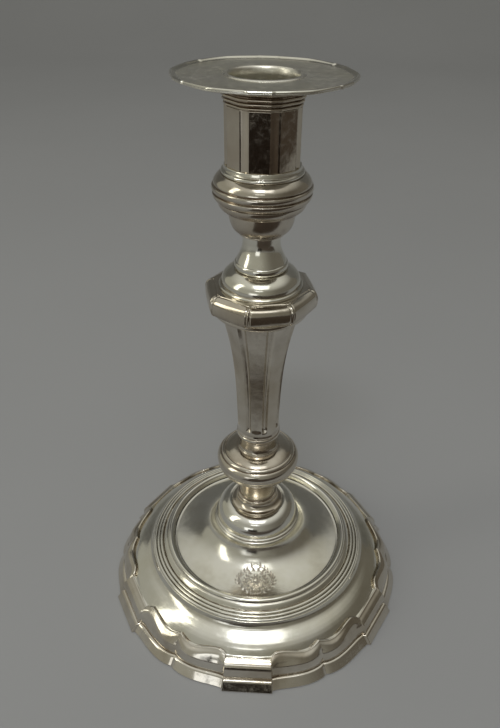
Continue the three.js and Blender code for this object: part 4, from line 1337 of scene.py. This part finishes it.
# %% Lights
AIM = (0, 0, 0.1)
COOL, COOLER, WARM_DAY = (0.96, 0.98, 1), (0.95, 0.97, 1), (1, 0.98, 0.86)
SOFT_BOXES = [       # name, place and size in metres, how bright it looks, colour
    ("overhead_box", (0.03, -0.66, 1.42), (0.85, 0.62), 1.08, COOL),
    ("overhead_core", (-0.10, -0.62, 1.30), (0.30, 0.12), 16, COOL),
    ("left_window", (-1.02, -0.30, 0.72), (0.26, 0.95), 2.2, WARM_DAY),
    ("front_high", (-0.10, -1.02, 0.86), (0.42, 0.15), 1.2, COOL),
    ("front_window", (-0.42, -1.12, 0.22), (0.46, 0.34), 0.9, COOLER),
]


def soft_box(name, place, size, level, colour):
    """A rectangular area light aimed at the foot of the stem."""
    data = bpy.data.lights.new(name, "AREA")
    data.shape, data.size, data.size_y = "RECTANGLE", *size
    data.energy, data.color = level * math.pi * size[0] * size[1], colour
    obj = bpy.data.objects.new(name, data)
    bpy.context.scene.collection.objects.link(obj)
    obj.location = place
    direction = np.array(AIM, float) - np.array(place, float)
    obj.rotation_euler = Vector(direction).to_track_quat("-Z", "Y").to_euler()
    print(f"{name}: {data.energy:.2f} W")


for row in SOFT_BOXES:
    soft_box(*row)

# %% [markdown]
# ## The room
# The left wall of the room is lighter than the right one, and the ceiling is the lightest.
# Below the horizon it is brown. The world's own direction drives soft steps between those
# tones, which the silver mirrors.

# %% World
world = bpy.data.worlds.new("room")
bpy.context.scene.world = world
world.use_nodes = True
tree = world.node_tree
place = tree.nodes.new("ShaderNodeTexCoord")
apart = tree.nodes.new("ShaderNodeSeparateXYZ")
tree.links.new(place.outputs["Generated"], apart.inputs[0])
sideways = maths(tree, "ADD", apart.outputs["X"], maths(tree, "MULTIPLY", apart.outputs["Y"], 0.3))
leftness = ramp(tree, sideways, 0.75, -0.75)
walls = mixed(tree, leftness, (0.125, 0.115, 0.095), (0.33, 0.325, 0.28))
overhead = ramp(tree, apart.outputs["Z"], 0.45, 0.98)
room = mixed(tree, overhead, walls, (0.60, 0.595, 0.55))
below = ramp(tree, apart.outputs["Z"], 0.02, -0.25)
room = mixed(tree, below, room, (0.10, 0.085, 0.07))
tree.links.new(room, tree.nodes["Background"].inputs["Color"])
print("the room's shader has", len(tree.nodes), "nodes")

# %% [markdown]
# ## Camera
# The camera stands close and looks down steeply, so the foot looks large and the stem tapers
# away from it. Its axes are worked out from pitch, yaw and roll, because a matrix is surer
# than three angles whose order has to be remembered.

# %% Camera
CAMERA_BACK, CAMERA_HEIGHT = 0.2415, 0.2950      # metres from the stem's axis and the floor
PITCH, YAW, ROLL = 33.96, 0.62, 1.33             # degrees
SENSOR, LENS = 36, 32.54                         # mm
SHIFT = (-0.0212, -0.0001)
pitch, yaw, roll = (math.radians(v) for v in (PITCH, YAW, ROLL))
forward = np.array([math.sin(yaw) * math.cos(pitch), math.cos(yaw) * math.cos(pitch),
                    -math.sin(pitch)])
right = np.array([math.cos(yaw), -math.sin(yaw), 0])
up = np.cross(right, forward)
right, up = (math.cos(roll) * right + math.sin(roll) * up,
             -math.sin(roll) * right + math.cos(roll) * up)
camera_data = bpy.data.cameras.new("camera")
camera_data.sensor_width, camera_data.lens = SENSOR, LENS
camera_data.shift_x, camera_data.shift_y = SHIFT
camera = bpy.data.objects.new("camera", camera_data)
bpy.context.scene.collection.objects.link(camera)
camera.matrix_world = Matrix([[right[i], up[i], -forward[i], (0, -CAMERA_BACK, CAMERA_HEIGHT)[i]]
                              for i in range(3)] + [[0, 0, 0, 1]])
bpy.context.scene.camera = camera
bpy.context.scene.view_settings.view_transform = "Standard"
print("the camera looks along", np.round(forward, 3))
